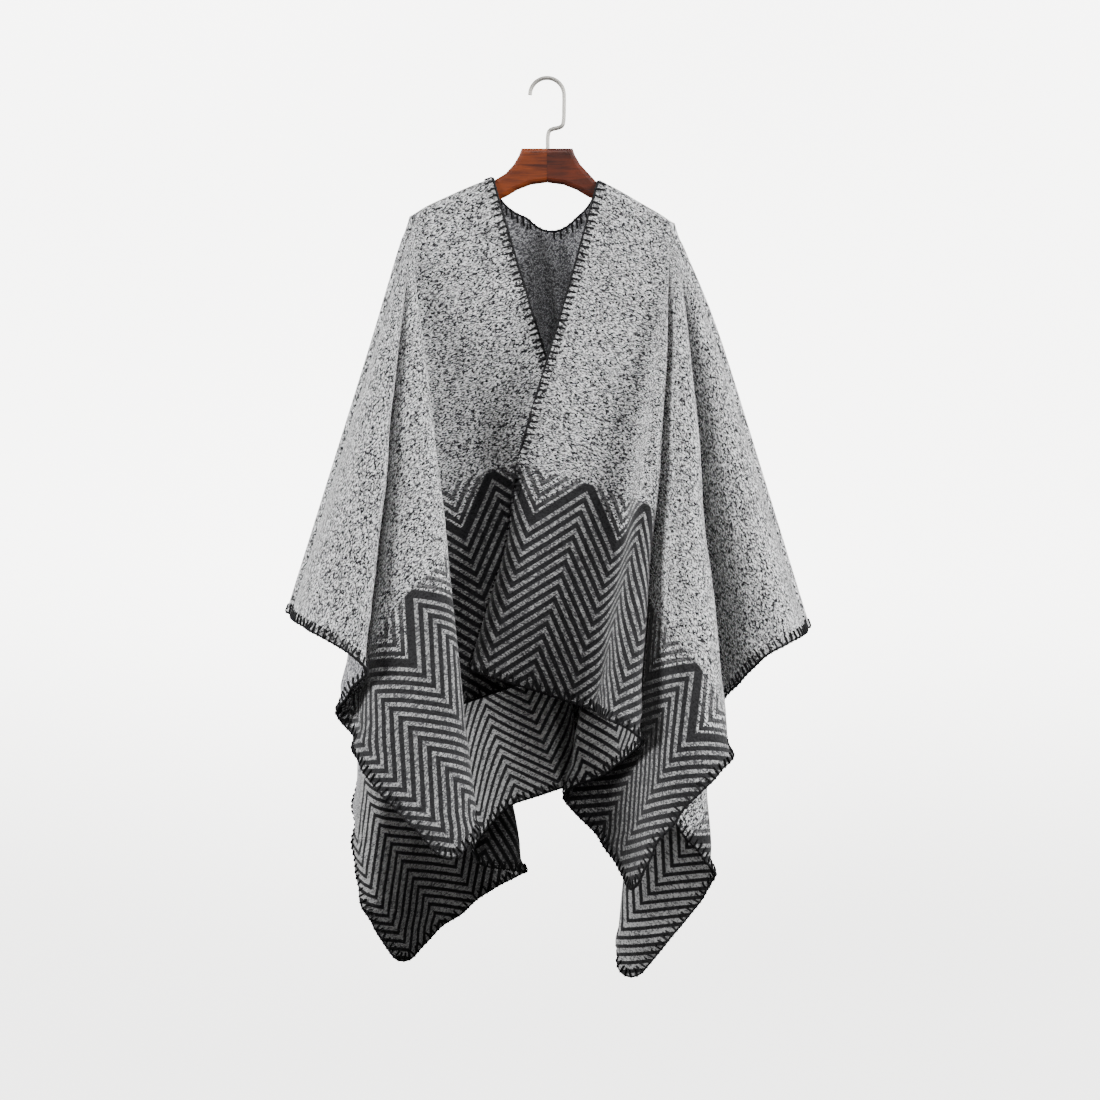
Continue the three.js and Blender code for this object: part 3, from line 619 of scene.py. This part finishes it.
# Front and back share their normals along the shoulder fold, so that their faces meet
def joinOverShoulders(surfaces):
    seam = []
    for surface in surfaces:
        flatU, flatV = (surface.verts.layers.float[key] for key in ("flatU", "flatV"))
        seam += [(round(v[flatU], 1), v) for v in surface.verts if v[flatV] < 0.5]
    sums = {}
    for place, vertex in seam:
        sums[place] = sums.get(place, Vector()) + vertex.normal
    for place, vertex in seam:
        vertex.normal = sums[place].normalized()


pieces = {}
plans = {
    "front_left": (frontPatches(leftSide, folds["frontLeft"], cloth["frontLeft"]), -1),
    "front_right": (frontPatches(rightSide, folds["frontRight"], cloth["frontRight"]), -1),
    "back": (backPatches(), 1),
}
surfaces = {node: weldedSurface(*plan) for node, plan in plans.items()}
joinOverShoulders(surfaces.values())
for node, surface in surfaces.items():
    mesh = shellMesh("knit_" + node, surface)
    surface.free()
    pieces[node] = linkObject("knit_" + node, mesh)
    print("cloth", node, len(mesh.polygons), "faces")


# Brushed jacquard knit: a soft napped acrylic, so no shine, and specks of two greys

knit = {
    # each yarn with the specks in it
    "outerPlain": ("#f6f6f7", "#202023"), "innerPlain": ("#5c5c60", "#dcdce0"),
    "lightStripe": ("#b4b4b4", "#4c4c4e"), "darkStripe": ("#0d0d0f", "#28282a"),
    # where specks start, where they are full, and the curve between
    "outerSpecks": (0.18, 0.72, 0.75), "innerSpecks": (0.4, 0.9, 1.0),
    "speckMm": 1.45,       # a little coarser than the real specks, which are too fine to show
    "speckStretch": (0.7, 1.15, 1), "clumpSpecks": 1.5, "clumpRange": (0.35, 0.65), "fleckShare": 0.9,
    # width in millimetres, detail and roughness
    "nap": (3.2, 2.0, 0.6), "cloud": (45, 3.0, 0.6), "hair": (1.1, 1.0, 0.5),
    # the zigzag
    "mirrorMm": -17, "firstPeakMm": 65, "waveMm": 117.5, "rise": 1.16, "roughEdgeMm": 2.6,
    "stripeMm": 17.2, "stripeEdge": (0.44, 0.66), "topLineMm": 290, "topLineWide": 17, "bluntMm": 9,
    "fadedMm": 17.2, "fadedEdge": (0.34, 0.6), "fadeReachMm": 60, "fadeTo": 0.74,
    # relief: light stripes stand a little over dark ones
    "darkSink": -0.35, "hairRise": 0.5, "reliefMm": 1.1,
}


def brushedKnit(name, face):
    material, tree = newMaterial(name)
    k = knit
    plan = addNode(tree, "ShaderNodeUVMap", uv_map="clothPlan").outputs[0]
    across, height = addNode(tree, "ShaderNodeSeparateXYZ", {0: plan}).outputs[:2]
    nap, cloud, hair = (
        addNode(tree, "ShaderNodeTexNoise", {
            "Vector": plan, "Scale": 1000 / wide, "Detail": detail, "Roughness": roughness}).outputs[0]
        for wide, detail, roughness in (k["nap"], k["cloud"], k["hair"]))
    brushed = addNode(tree, "ShaderNodeMapping", {"Vector": plan, "Scale": k["speckStretch"]}).outputs[0]
    clump = addNode(tree, "ShaderNodeTexNoise", {
        "Vector": brushed, "Scale": 1000 / k["speckMm"] / k["clumpSpecks"], "Detail": 2.0,
        "Roughness": 0.7}).outputs[0]
    clump = addNode(tree, "ShaderNodeMapRange", {
        "Value": clump, "From Min": k["clumpRange"][0], "From Max": k["clumpRange"][1]}).outputs[0]
    fleck = addNode(tree, "ShaderNodeTexVoronoi", {"Vector": brushed, "Scale": 1000 / k["speckMm"]},
                    voronoi_dimensions="2D").outputs["Color"]
    fleck = addNode(tree, "ShaderNodeSeparateXYZ", {0: fleck}).outputs[0]
    speck = addNode(tree, "ShaderNodeMix", {0: k["fleckShare"], 2: clump, 3: fleck},
                    data_type="FLOAT").outputs[0]

    # the zigzag: a level that rises and falls across the cloth, mirrored near its middle
    level = across
    for operation, number in (("SUBTRACT", k["mirrorMm"] / 1000), ("ABSOLUTE", 0.0),
                              ("SUBTRACT", k["firstPeakMm"] / 1000), ("PINGPONG", k["waveMm"] / 2000)):
        level = addNode(tree, "ShaderNodeMath", {0: level, 1: number}, operation=operation).outputs[0]
    level = addNode(tree, "ShaderNodeMath", {0: level, 1: k["rise"], 2: height},
                    operation="MULTIPLY_ADD").outputs[0]
    level = addNode(tree, "ShaderNodeMath", {0: nap, 1: k["roughEdgeMm"] / 1000, 2: level},
                    operation="MULTIPLY_ADD").outputs[0]
    level = addNode(tree, "ShaderNodeMath", {0: level, 1: k["roughEdgeMm"] / 2000},
                    operation="SUBTRACT").outputs[0]

    # dark stripes, counted from the wide line at the top of the pattern, and fainter ones above it
    half, fadedHalf = k["stripeMm"] / 2000, k["fadedMm"] / 2000
    lineTop, lineFoot = k["topLineMm"], k["topLineMm"] - k["topLineWide"]
    peaks = lineTop - k["bluntMm"]
    waved = []
    for first, wide in ((lineFoot / 1000 - 1.5 * half, half), (lineTop / 1000, fadedHalf)):
        past = addNode(tree, "ShaderNodeMath", {0: level, 1: first}, operation="SUBTRACT").outputs[0]
        waved.append(addNode(tree, "ShaderNodeMath", {0: past, 1: wide}, operation="PINGPONG").outputs[0])

    # soft edges: the value, the two levels between which it turns, and what it turns from
    stripes, faded, inTopLine, below, underPeaks = (
        addNode(tree, "ShaderNodeMapRange", {
            "Value": value, "From Min": low, "From Max": high, "To Min": start, "To Max": 1.0 - start},
            interpolation_type="SMOOTHSTEP").outputs[0]
        for value, low, high, start in (
            (waved[0], half * k["stripeEdge"][0], half * k["stripeEdge"][1], 1.0),
            (waved[1], fadedHalf * k["fadedEdge"][0], fadedHalf * k["fadedEdge"][1], 0.0),
            (level, (lineFoot - 1) / 1000, (lineFoot + 1) / 1000, 0.0),
            (level, (lineTop - 2) / 1000, (lineTop + 4) / 1000, 1.0),
            (height, peaks / 1000, (peaks + 4) / 1000, 1.0)))
    dark = addNode(tree, "ShaderNodeMath", {0: stripes, 1: inTopLine}, operation="MAXIMUM").outputs[0]
    below = addNode(tree, "ShaderNodeMath", {0: below, 1: underPeaks}, operation="MULTIPLY").outputs[0]
    dark = addNode(tree, "ShaderNodeMath", {0: dark, 1: below}, operation="MULTIPLY").outputs[0]

    # the fainter stripes fill each valley above the line
    fade = addNode(tree, "ShaderNodeMapRange", {
        "Value": height, "From Min": (lineTop - k["fadeReachMm"]) / 1000, "From Max": lineTop / 1000,
        "To Min": 1.0, "To Max": k["fadeTo"]}).outputs[0]
    above = addNode(tree, "ShaderNodeMath", {0: 1.0, 1: below}, operation="SUBTRACT").outputs[0]
    for share in (fade, underPeaks, above):
        faded = addNode(tree, "ShaderNodeMath", {0: faded, 1: share}, operation="MULTIPLY").outputs[0]
    mask = addNode(tree, "ShaderNodeMath", {0: dark, 1: faded}, operation="MAXIMUM").outputs[0]

    # specks of the second yarn
    speckStart, speckFull, speckCurve = k[face + "Specks"]
    speckMask = addNode(tree, "ShaderNodeMapRange", {
        "Value": speck, "From Min": speckStart, "From Max": speckFull}).outputs[0]
    speckMask = addNode(tree, "ShaderNodeMath", {0: speckMask, 1: speckCurve}, operation="POWER").outputs[0]
    plainYarn, lightYarn, darkYarn = (
        addNode(tree, "ShaderNodeMix", {0: speckMask, 6: toLinear(yarn), 7: toLinear(specks)},
                data_type="RGBA").outputs[2]
        for yarn, specks in (k[face + "Plain"], k["lightStripe"], k["darkStripe"]))
    if face == "inner":
        # the inner face shows the same pattern with its two yarns changed over
        lightYarn, darkYarn = darkYarn, lightYarn
    striped, ground = (
        addNode(tree, "ShaderNodeMix", {0: share, 6: yarn, 7: darkYarn}, data_type="RGBA").outputs[2]
        for share, yarn in ((mask, lightYarn), (faded, plainYarn)))
    colour = addNode(tree, "ShaderNodeMix", {0: below, 6: ground, 7: striped}, data_type="RGBA").outputs[2]
    shade = addNode(tree, "ShaderNodeMapRange", {
        "Value": cloud, "From Min": 0.3, "From Max": 0.7, "To Min": 0.93, "To Max": 1.06}).outputs[0]
    colour = addNode(tree, "ShaderNodeVectorMath", {0: colour, "Scale": shade}, operation="SCALE").outputs[0]

    # the nap and its loose hairs are a fraction of a millimetre high
    relief = nap
    for value, number in ((mask, k["darkSink"]), (hair, k["hairRise"])):
        relief = addNode(tree, "ShaderNodeMath", {0: value, 1: number, 2: relief},
                         operation="MULTIPLY_ADD").outputs[0]
    bump = addNode(tree, "ShaderNodeBump", {
        "Height": relief, "Distance": k["reliefMm"] / 1000, "Strength": 0.8}).outputs[0]
    shader = addNode(tree, "ShaderNodeBsdfPrincipled", {
        "Base Color": colour, "Roughness": 0.92, "Normal": bump, "Specular IOR Level": 0.2,
        "Sheen Weight": 0.25, "Sheen Roughness": 0.5}).outputs[0]
    addNode(tree, "ShaderNodeOutputMaterial", {0: shader})
    return material


knitOuter = brushedKnit("brushed_knit_outer_face", "outer")
knitInner = brushedKnit("brushed_knit_inner_face", "inner")
for piece in pieces.values():
    piece.data.materials.append(knitOuter)
    piece.data.materials.append(knitInner)
print("knit ready")


# Blanket stitch: thick black acrylic yarn over every edge, and along its rim

stitch = {
    "pitch": 9.0, "tooth": 10.5, "toothEnd": 1.2, "yarn": 1.35, "lean": 0.9, "stand": 0.7, "overEdge": 1.8,
    "rim": 1.8, "rimOut": 0.6, "rimStep": 4.0, "sides": 6, "seed": 3, "jitter": 0.16, "edgeStep": 2.2,
    "dark": "#0c0c0d", "light": "#2a2a2c", "strandMm": 0.9, "strandHigh": 0.5,
}


# Black plied yarn: matt, with fine strands that catch a little light
def acrylicYarn():
    material, tree = newMaterial("black_acrylic_yarn")
    place = addNode(tree, "ShaderNodeTexCoord").outputs["Object"]
    strands = addNode(tree, "ShaderNodeTexNoise", {
        "Vector": place, "Scale": 1000 / stitch["strandMm"], "Detail": 2.0}).outputs[0]
    colour = addNode(tree, "ShaderNodeMix", {
        0: strands, 6: toLinear(stitch["dark"]), 7: toLinear(stitch["light"])}, data_type="RGBA").outputs[2]
    bump = addNode(tree, "ShaderNodeBump", {
        "Height": strands, "Distance": stitch["strandHigh"] / 1000, "Strength": 0.7}).outputs[0]
    shader = addNode(tree, "ShaderNodeBsdfPrincipled", {
        "Base Color": colour, "Roughness": 0.85, "Normal": bump, "Specular IOR Level": 0.25}).outputs[0]
    addNode(tree, "ShaderNodeOutputMaterial", {0: shader})
    return material


# Points of an edge with the way into the cloth and the way its outer face points
# The slopes are taken over steps of 1.5 to 3 mm.
def edgeSamples(surface, across, down, intoAcross, intoDown, outward):
    point = surface(across, down)
    into = surface(across + 3 * intoAcross, down + 3 * intoDown) - point
    into /= np.linalg.norm(into, axis=-1, keepdims=True)
    normal = surfaceNormal(surface, across + 2 * intoAcross, down + 2 * intoDown, (1.5, 1.5)) * outward
    return point, into, normal


# The rounded corner from the side edge round to the hem
def cornerPath(cornerAcross, length, outward):
    r = cloth["cornerRound"]
    turn = np.radians(np.arange(5, 90, 10))
    across = cornerAcross - outward * r * (1 - np.cos(turn))
    down = length - r * (1 - np.sin(turn))
    return across, down, -outward * np.cos(turn), -np.sin(turn)


# Straight runs of edge, with the way into the cloth
def runDown(across, start, end, into):
    down = np.arange(start, end, math.copysign(stitch["edgeStep"], end - start))
    return np.full_like(down, across), down, np.full_like(down, into), 0 * down


def runAcross(down, start, end):
    across = np.arange(start, end, math.copysign(stitch["edgeStep"], end - start))
    return across, np.full_like(across, down), 0 * across, -np.ones_like(across)


# From the neck down the front edge, along the hem and up the sleeve edge
def frontEdge(side, length):
    wide, r, neck = cloth["halfWidth"], cloth["cornerRound"], side["neckAcross"]
    runs = [runDown(neck, 0, length - r, 1), cornerPath(neck, length, -1),
            runAcross(length, neck + r, wide - r), [part[::-1] for part in cornerPath(wide, length, 1)],
            runDown(wide, length - r, 0, -1)]
    joined = [np.concatenate([run[i] for run in runs]) for i in range(4)]
    return edgeSamples(frontSurface(side, length), *joined, side["sign"])


# From the shoulder down the sleeve edge behind and along the hem to the middle folds
def backSideEdge(side, line):
    wide, r, length = cloth["halfWidth"], cloth["cornerRound"], side["back"]
    runs = [runDown(wide, 1, length - r, -1), cornerPath(wide, length, 1),
            runAcross(length, wide - r, line["hem"] + 1)]
    joined = [np.concatenate([run[i] for run in runs]) for i in range(4)]
    return edgeSamples(backSurface(side), *joined, -side["sign"])


# The back's neck edge from the shoulder to the middle folds
def neckSide(side, line):
    across = np.linspace(side["neckAcross"], line["top"] + 1, 26)
    down = neckCurve(side, across)
    point = side["place"](across, -down)
    into = side["place"](across + 1.2, -down - 2.4) - point
    into /= np.linalg.norm(into, axis=-1, keepdims=True)
    normal = surfaceNormal(lambda u, v: side["place"](u, -v), across, down + 3, (1.5, 1.5)) * -side["sign"]
    return point, into, normal


def middleEdge(share, into):
    u = np.linspace(0.006, 0.994, 290 if share else 46)
    share = np.full_like(u, share)
    normal = surfaceNormal(middlePlace, u, share - into * 0.004, (0.01, 0.004))
    point = middlePlace(u, share) + normal * middleWave(u, share)
    toward = middlePlace(u, share + into * 0.01) - middlePlace(u, share)
    toward /= np.linalg.norm(toward, axis=-1, keepdims=True)
    return point, toward, normal


def joinRuns(*runs):
    return [np.vstack([run[i] for run in runs]) for i in range(3)]


def reverseRun(run):
    return [part[::-1] for part in run]


leftEdge = joinRuns(frontEdge(leftSide, cloth["frontLeft"]), backSideEdge(leftSide, middleFolds["left"]))
rightEdge = joinRuns(frontEdge(rightSide, cloth["frontRight"]), backSideEdge(rightSide, middleFolds["right"]))
wholeEdge = joinRuns(
    leftEdge, middleEdge(1.0, -1), reverseRun(rightEdge), neckSide(rightSide, middleFolds["right"]),
    reverseRun(middleEdge(0.0, 1)), reverseRun(neckSide(leftSide, middleFolds["left"])))


# Geometry nodes: a stitch at every pitch along the edge, turned to the cloth, and the yarn along the rim
def stitchTree(pathObject, material):
    tree = bpy.data.node_groups.new("blanketStitch", "GeometryNodeTree")
    tree.interface.new_socket("Edge", in_out="INPUT", socket_type="NodeSocketGeometry")
    for name, kind in (("Pitch", "Float"), ("Yarn radius", "Float"), ("Rim radius", "Float"),
                       ("Rim offset", "Float"), ("Rim step", "Float"), ("Jitter", "Float"), ("Seed", "Int")):
        tree.interface.new_socket(name, in_out="INPUT", socket_type="NodeSocket" + kind)
    tree.interface.new_socket("Stitches", in_out="OUTPUT", socket_type="NodeSocketGeometry")
    given = addNode(tree, "NodeGroupInput").outputs
    edge = addNode(tree, "GeometryNodeMeshToCurve", {0: given["Edge"]}).outputs[0]
    spaced = addNode(tree, "GeometryNodeResampleCurve", {"Curve": edge, "Length": given["Pitch"]},
                     mode="LENGTH").outputs[0]
    into = addNode(tree, "GeometryNodeInputNamedAttribute", {"Name": "intoCloth"},
                   data_type="FLOAT_VECTOR").outputs[0]
    outer = addNode(tree, "GeometryNodeInputNamedAttribute", {"Name": "outerWay"},
                    data_type="FLOAT_VECTOR").outputs[0]
    turned = addNode(tree, "FunctionNodeAxesToRotation", {0: outer, 1: into},
                     primary_axis="Z", secondary_axis="X").outputs[0]
    least = addNode(tree, "ShaderNodeMath", {0: given["Jitter"], 1: -1.0}, operation="MULTIPLY").outputs[0]
    wobble = addNode(tree, "FunctionNodeRandomValue", {2: least, 3: given["Jitter"], "Seed": given["Seed"]},
                     data_type="FLOAT").outputs[1]
    lean = addNode(tree, "ShaderNodeCombineXYZ", {2: wobble}).outputs[0]
    leaning = addNode(tree, "FunctionNodeRotateRotation", {0: turned, 1: lean},
                      rotation_space="LOCAL").outputs[0]
    path = addNode(tree, "GeometryNodeObjectInfo", {0: pathObject}).outputs["Geometry"]
    section, rimSection = (
        addNode(tree, "GeometryNodeCurvePrimitiveCircle", {"Resolution": stitch["sides"], "Radius": radius},
                mode="RADIUS").outputs[0]
        for radius in (given["Yarn radius"], given["Rim radius"]))
    yarn = addNode(tree, "GeometryNodeCurveToMesh", {0: path, 1: section, "Fill Caps": True}).outputs[0]
    placed = addNode(tree, "GeometryNodeInstanceOnPoints", {
        "Points": spaced, "Instance": yarn, "Rotation": leaning}).outputs[0]
    outset = addNode(tree, "ShaderNodeVectorMath", {0: into, "Scale": given["Rim offset"]},
                     operation="SCALE").outputs[0]
    rimPath = addNode(tree, "GeometryNodeResampleCurve", {"Curve": edge, "Length": given["Rim step"]},
                      mode="LENGTH").outputs[0]
    rimPath = addNode(tree, "GeometryNodeSetPosition", {0: rimPath, "Offset": outset}).outputs[0]
    rim = addNode(tree, "GeometryNodeCurveToMesh", {0: rimPath, 1: rimSection}).outputs[0]
    sewn = addNode(tree, "GeometryNodeJoinGeometry", {0: placed}).outputs[0]
    tree.links.new(rim, sewn.node.inputs[0])
    real = addNode(tree, "GeometryNodeRealizeInstances", {0: sewn}).outputs[0]
    smooth = addNode(tree, "GeometryNodeSetShadeSmooth", {0: real}).outputs[0]
    coloured = addNode(tree, "GeometryNodeSetMaterial", {0: smooth, "Material": material}).outputs[0]
    addNode(tree, "NodeGroupOutput", {0: coloured})
    return tree


# One stitch: a loop over the edge with a tooth on each face
def stitchPath():
    s = stitch
    top, over, nearEnd = cloth["wall"] / 2 + s["stand"], s["overEdge"], s["tooth"] - s["toothEnd"]
    half = [(s["tooth"], s["lean"], top - 1.0), (nearEnd, s["lean"], top + 0.3),
            (s["tooth"] / 2, s["lean"] / 2, top + 0.4), (1, 0, top + 0.7), (-over, 0, top * 0.6)]
    loop = half + [(x, -y, -z) for x, y, z in reversed(half)]
    curve = bpy.data.curves.new("stitchPath", "CURVE")
    curve.dimensions = "3D"
    spline = curve.splines.new("POLY")
    spline.points.add(len(loop) - 1)
    for place, point in zip(loop, spline.points):
        point.co = (*[v / 1000 for v in place], 1)
    return linkObject("stitchPath", curve)


def sewStitches():
    point, into, outer = wholeEdge
    guide = bpy.data.meshes.new("edgeGuide")
    count = len(point)
    guide.from_pydata((point / 1000).tolist(), [(i, (i + 1) % count) for i in range(count)], [])
    for name, values in (("intoCloth", into), ("outerWay", outer)):
        guide.attributes.new(name, "FLOAT_VECTOR", "POINT").data.foreach_set("vector", values.ravel())
    guideObject = linkObject("edgeGuide", guide)
    pathObject = stitchPath()
    tree = stitchTree(pathObject, acrylicYarn())
    modifier = guideObject.modifiers.new("stitches", "NODES")
    modifier.node_group = tree
    values = {"Pitch": stitch["pitch"] / 1000, "Yarn radius": stitch["yarn"] / 1000,
              "Rim radius": stitch["rim"] / 1000, "Rim offset": -stitch["rimOut"] / 1000,
              "Rim step": stitch["rimStep"] / 1000, "Jitter": stitch["jitter"], "Seed": stitch["seed"]}
    for item in tree.interface.items_tree:
        if item.name in values:
            modifier[item.identifier] = values[item.name]
    depsgraph = bpy.context.evaluated_depsgraph_get()
    mesh = bpy.data.meshes.new_from_object(guideObject.evaluated_get(depsgraph), depsgraph=depsgraph)
    mesh.name = "blanketStitch"
    for helper in (guideObject, pathObject):
        bpy.data.objects.remove(helper)
    return linkObject("blanket_stitch", mesh)


stitches = sewStitches()
print("stitches", len(stitches.data.polygons), "faces")


# The hanger: each arm's light and dark grain and its slope, the wire and the glue

hanger = {
    "left": ("#8a3c0a", "#3e1203", 17), "right": ("#6a2606", "#2b0b02", -17), "grainStretch": (9, 60, 110),
    "steel": "#d6d3cc", "steelRough": (0.42, 0.52), "steelWearMm": 1.5, "glue": "#1a0803", "glueShare": 0.96,
}


# Stained lotus wood under satin varnish: long grain down the arm and a soft gloss
# Its grain is 50 mm long and 4 to 8 mm across, its pores 8 mm long and 1 mm across, its patches 45 mm.
def varnishedWood(name, light, dark, slope):
    material, tree = newMaterial(name)
    place = addNode(tree, "ShaderNodeTexCoord").outputs["Object"]
    along = addNode(tree, "ShaderNodeMapping", {
        "Vector": place, "Rotation": (0, math.radians(slope), 0),
        "Scale": hanger["grainStretch"]}).outputs[0]
    grain = addNode(tree, "ShaderNodeTexNoise", {
        "Vector": along, "Scale": 2.2, "Detail": 6.0, "Roughness": 0.62, "Distortion": 0.6}).outputs[0]
    pores = addNode(tree, "ShaderNodeTexNoise", {
        "Vector": along, "Scale": 14.0, "Detail": 3.0}).outputs[0]
    patches = addNode(tree, "ShaderNodeTexNoise", {"Vector": place, "Scale": 22.0, "Detail": 2.0}).outputs[0]
    mixed = addNode(tree, "ShaderNodeMath", {0: patches, 1: 0.55, 2: grain},
                    operation="MULTIPLY_ADD").outputs[0]
    tone = addNode(tree, "ShaderNodeMapRange", {"Value": mixed, "From Min": 0.55, "From Max": 1.0}).outputs[0]
    colour = addNode(tree, "ShaderNodeMix", {0: tone, 6: toLinear(dark), 7: toLinear(light)},
                     data_type="RGBA").outputs[2]
    bump = addNode(tree, "ShaderNodeBump", {"Height": pores, "Distance": 0.0002, "Strength": 0.3}).outputs[0]
    shader = addNode(tree, "ShaderNodeBsdfPrincipled", {
        "Base Color": colour, "Roughness": 0.5, "Normal": bump, "IOR": 1.45, "Coat Weight": 0.12,
        "Coat Roughness": 0.25}).outputs[0]
    addNode(tree, "ShaderNodeOutputMaterial", {0: shader})
    return material


# Plated steel wire with a brushed, slightly worn skin, so its shine is soft and uneven
def satinSteel():
    material, tree = newMaterial("satin_steel_wire")
    place = addNode(tree, "ShaderNodeTexCoord").outputs["Object"]
    wear = addNode(tree, "ShaderNodeTexNoise", {
        "Vector": place, "Scale": 1000 / hanger["steelWearMm"], "Detail": 3.0}).outputs[0]
    rough = addNode(tree, "ShaderNodeMapRange", {
        "Value": wear, "To Min": hanger["steelRough"][0], "To Max": hanger["steelRough"][1]}).outputs[0]
    shader = addNode(tree, "ShaderNodeBsdfPrincipled", {
        "Base Color": toLinear(hanger["steel"]), "Metallic": 1.0, "Roughness": rough}).outputs[0]
    addNode(tree, "ShaderNodeOutputMaterial", {0: shader})
    return material


hangerFinish = {
    "hanger_left": varnishedWood("stained_wood_left", *hanger["left"]),
    "hanger_right": varnishedWood("stained_wood_right", *hanger["right"]),
    "hanger_hook": satinSteel(),
}
for node, finish in hangerFinish.items():
    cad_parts[node].data.materials.clear()
    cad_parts[node].data.materials.append(finish)


# Dried wood glue that took up the stain: a hard dark line, half matt
def driedGlue():
    material, tree = newMaterial("dark_wood_glue")
    shader = addNode(tree, "ShaderNodeBsdfPrincipled", {
        "Base Color": toLinear(hanger["glue"]), "Roughness": 0.6}).outputs[0]
    addNode(tree, "ShaderNodeOutputMaterial", {0: shader})
    return material


# The glue between the two arms, a little lower than their faces
def glueLine():
    share = hanger["glueShare"]
    seam = []
    for node, end in (("hanger_left", max), ("hanger_right", min)):
        points = [corner.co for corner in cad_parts[node].data.vertices]
        middle = end(point.x for point in points)
        seam += [point.copy() for point in points if abs(point.x - middle) < 1e-5]
    centre = sum(seam, Vector()) / len(seam)
    solid = bmesh.new()
    for point in seam:
        solid.verts.new((point.x, *[centre[i] + share * (point[i] - centre[i]) for i in (1, 2)]))
    bmesh.ops.convex_hull(solid, input=solid.verts)
    mesh = bpy.data.meshes.new("glueLine")
    solid.to_mesh(mesh)
    solid.free()
    mesh.materials.append(driedGlue())
    return linkObject("glue_line", mesh)


glue = glueLine()
print("hanger finished")


# Room: a pale wall and floor in one sweep, and soft light

room = {
    "floorZ": -1.95, "radius": 5.6, "sweep": 1.6, "sweepSteps": 12, "top": 5.0, "turns": 64,
    "bright": 7.2, "dimBelow": (-1.9, -0.6), "dimTo": 0.6, "air": "#f3f2f1", "airLight": 0.13,
}


# The wall and floor glow by themselves in place of a lit white wall, so that the backdrop is even under the
# lamps; the glow is painted light, with painted shade darker towards the floor and a soft painted mottle of
# light
def glowingBackdrop():
    material, tree = newMaterial("glowing_backdrop_painted_shade")
    place = addNode(tree, "ShaderNodeTexCoord").outputs["Object"]
    height = addNode(tree, "ShaderNodeSeparateXYZ", {0: place}).outputs[2]
    # painted light: a soft mottle in the glow
    paintedLightMottle = addNode(tree, "ShaderNodeTexNoise", {"Vector": place, "Scale": 0.35, "Detail": 1.0}).outputs[0]
    # painted shade: the glow dims towards the floor
    paintedShadeToFloor = addNode(tree, "ShaderNodeMapRange", {
        "Value": height, "From Min": room["dimBelow"][0], "From Max": room["dimBelow"][1],
        "To Min": room["dimTo"], "To Max": 1.0}, interpolation_type="SMOOTHSTEP").outputs[0]
    shade = addNode(tree, "ShaderNodeMapRange", {
        "Value": paintedLightMottle, "From Min": 0.3, "From Max": 0.7, "To Min": 0.94, "To Max": 1.08}).outputs[0]
    level = paintedShadeToFloor
    for share in (shade, room["bright"]):
        level = addNode(tree, "ShaderNodeMath", {0: level, 1: share}, operation="MULTIPLY").outputs[0]
    shader = addNode(tree, "ShaderNodeEmission", {"Color": toLinear("#fdfcfa"), "Strength": level}).outputs[0]
    addNode(tree, "ShaderNodeOutputMaterial", {0: shader})
    return material


def roomMesh():
    r = room
    profile = [(0.01, r["floorZ"])]
    for i in range(r["sweepSteps"] + 1):
        a = math.radians(90 * i / r["sweepSteps"])
        profile.append((r["radius"] - r["sweep"] + r["sweep"] * math.sin(a),
                        r["floorZ"] + r["sweep"] * (1 - math.cos(a))))
    profile.append((r["radius"], r["top"]))
    turns = r["turns"]
    points = [(d * math.cos(2 * math.pi * t / turns), d * math.sin(2 * math.pi * t / turns), z)
              for d, z in profile for t in range(turns)]
    faces = [(i + t, i + (t + 1) % turns, i + turns + (t + 1) % turns, i + turns + t)
             for i in range(0, turns * (len(profile) - 1), turns) for t in range(turns)]
    faces.append(list(range(turns)))       # closes the floor's middle
    mesh = bpy.data.meshes.new("room")
    mesh.from_pydata(points, [], faces)
    mesh.polygons.foreach_set("use_smooth", [True] * len(faces))
    mesh.materials.append(glowingBackdrop())
    return mesh


walls = linkObject("room", roomMesh())
walls.visible_diffuse = walls.visible_glossy = walls.visible_shadow = False

# Large soft lamps at both sides, a weak one in front for the hollow, and one behind for the back
lampsAim = Vector((0, 0, -0.65))
lights = [
    {"name": "keyRight", "place": (3.3, -1.1, 0.7), "size": 1.3, "power": 265},
    {"name": "fillLeft", "place": (-3.3, -1.2, 0.6), "size": 1.3, "power": 205},
    {"name": "front", "place": (0.3, -3.4, 2.0), "size": 1.4, "power": 46},
    {"name": "behind", "place": (-1.2, 3.3, 0.8), "size": 1.8, "power": 190},
]
for light in lights:
    data = bpy.data.lights.new(light["name"], "AREA")
    data.energy, data.size = light["power"], light["size"]
    lamp = bpy.data.objects.new(light["name"], data)
    lamp.location = light["place"]
    lamp.rotation_euler = (lampsAim - Vector(light["place"])).to_track_quat("-Z", "Y").to_euler()
    bpy.context.scene.collection.objects.link(lamp)

world = bpy.data.worlds.new("paleRoom")
world.use_nodes = True
background = world.node_tree.nodes["Background"].inputs
background[0].default_value, background[1].default_value = toLinear(room["air"]), room["airLight"]
bpy.context.scene.world = world


# What stands for what

flatSizes = {
    "front_left": (cloth["halfWidth"] - leftSide["neckAcross"], cloth["frontLeft"]),
    "front_right": (cloth["halfWidth"] - rightSide["neckAcross"], cloth["frontRight"]),
    "back": (2 * cloth["halfWidth"], (leftSide["back"] + rightSide["back"]) / 2),
}
standsFor = {
    "front_left": ["front_left"], "front_right": ["front_right"],
    "back": ["back_left", "back_middle", "back_right"],
}
for node, piece in pieces.items():
    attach(piece, "root")
    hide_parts(*standsFor[node])
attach(stitches, "root")
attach(glue, "root")
for node, piece in pieces.items():
    width, length = flatSizes[node]
    "hanger_left" if "left" in node else "hanger_right"
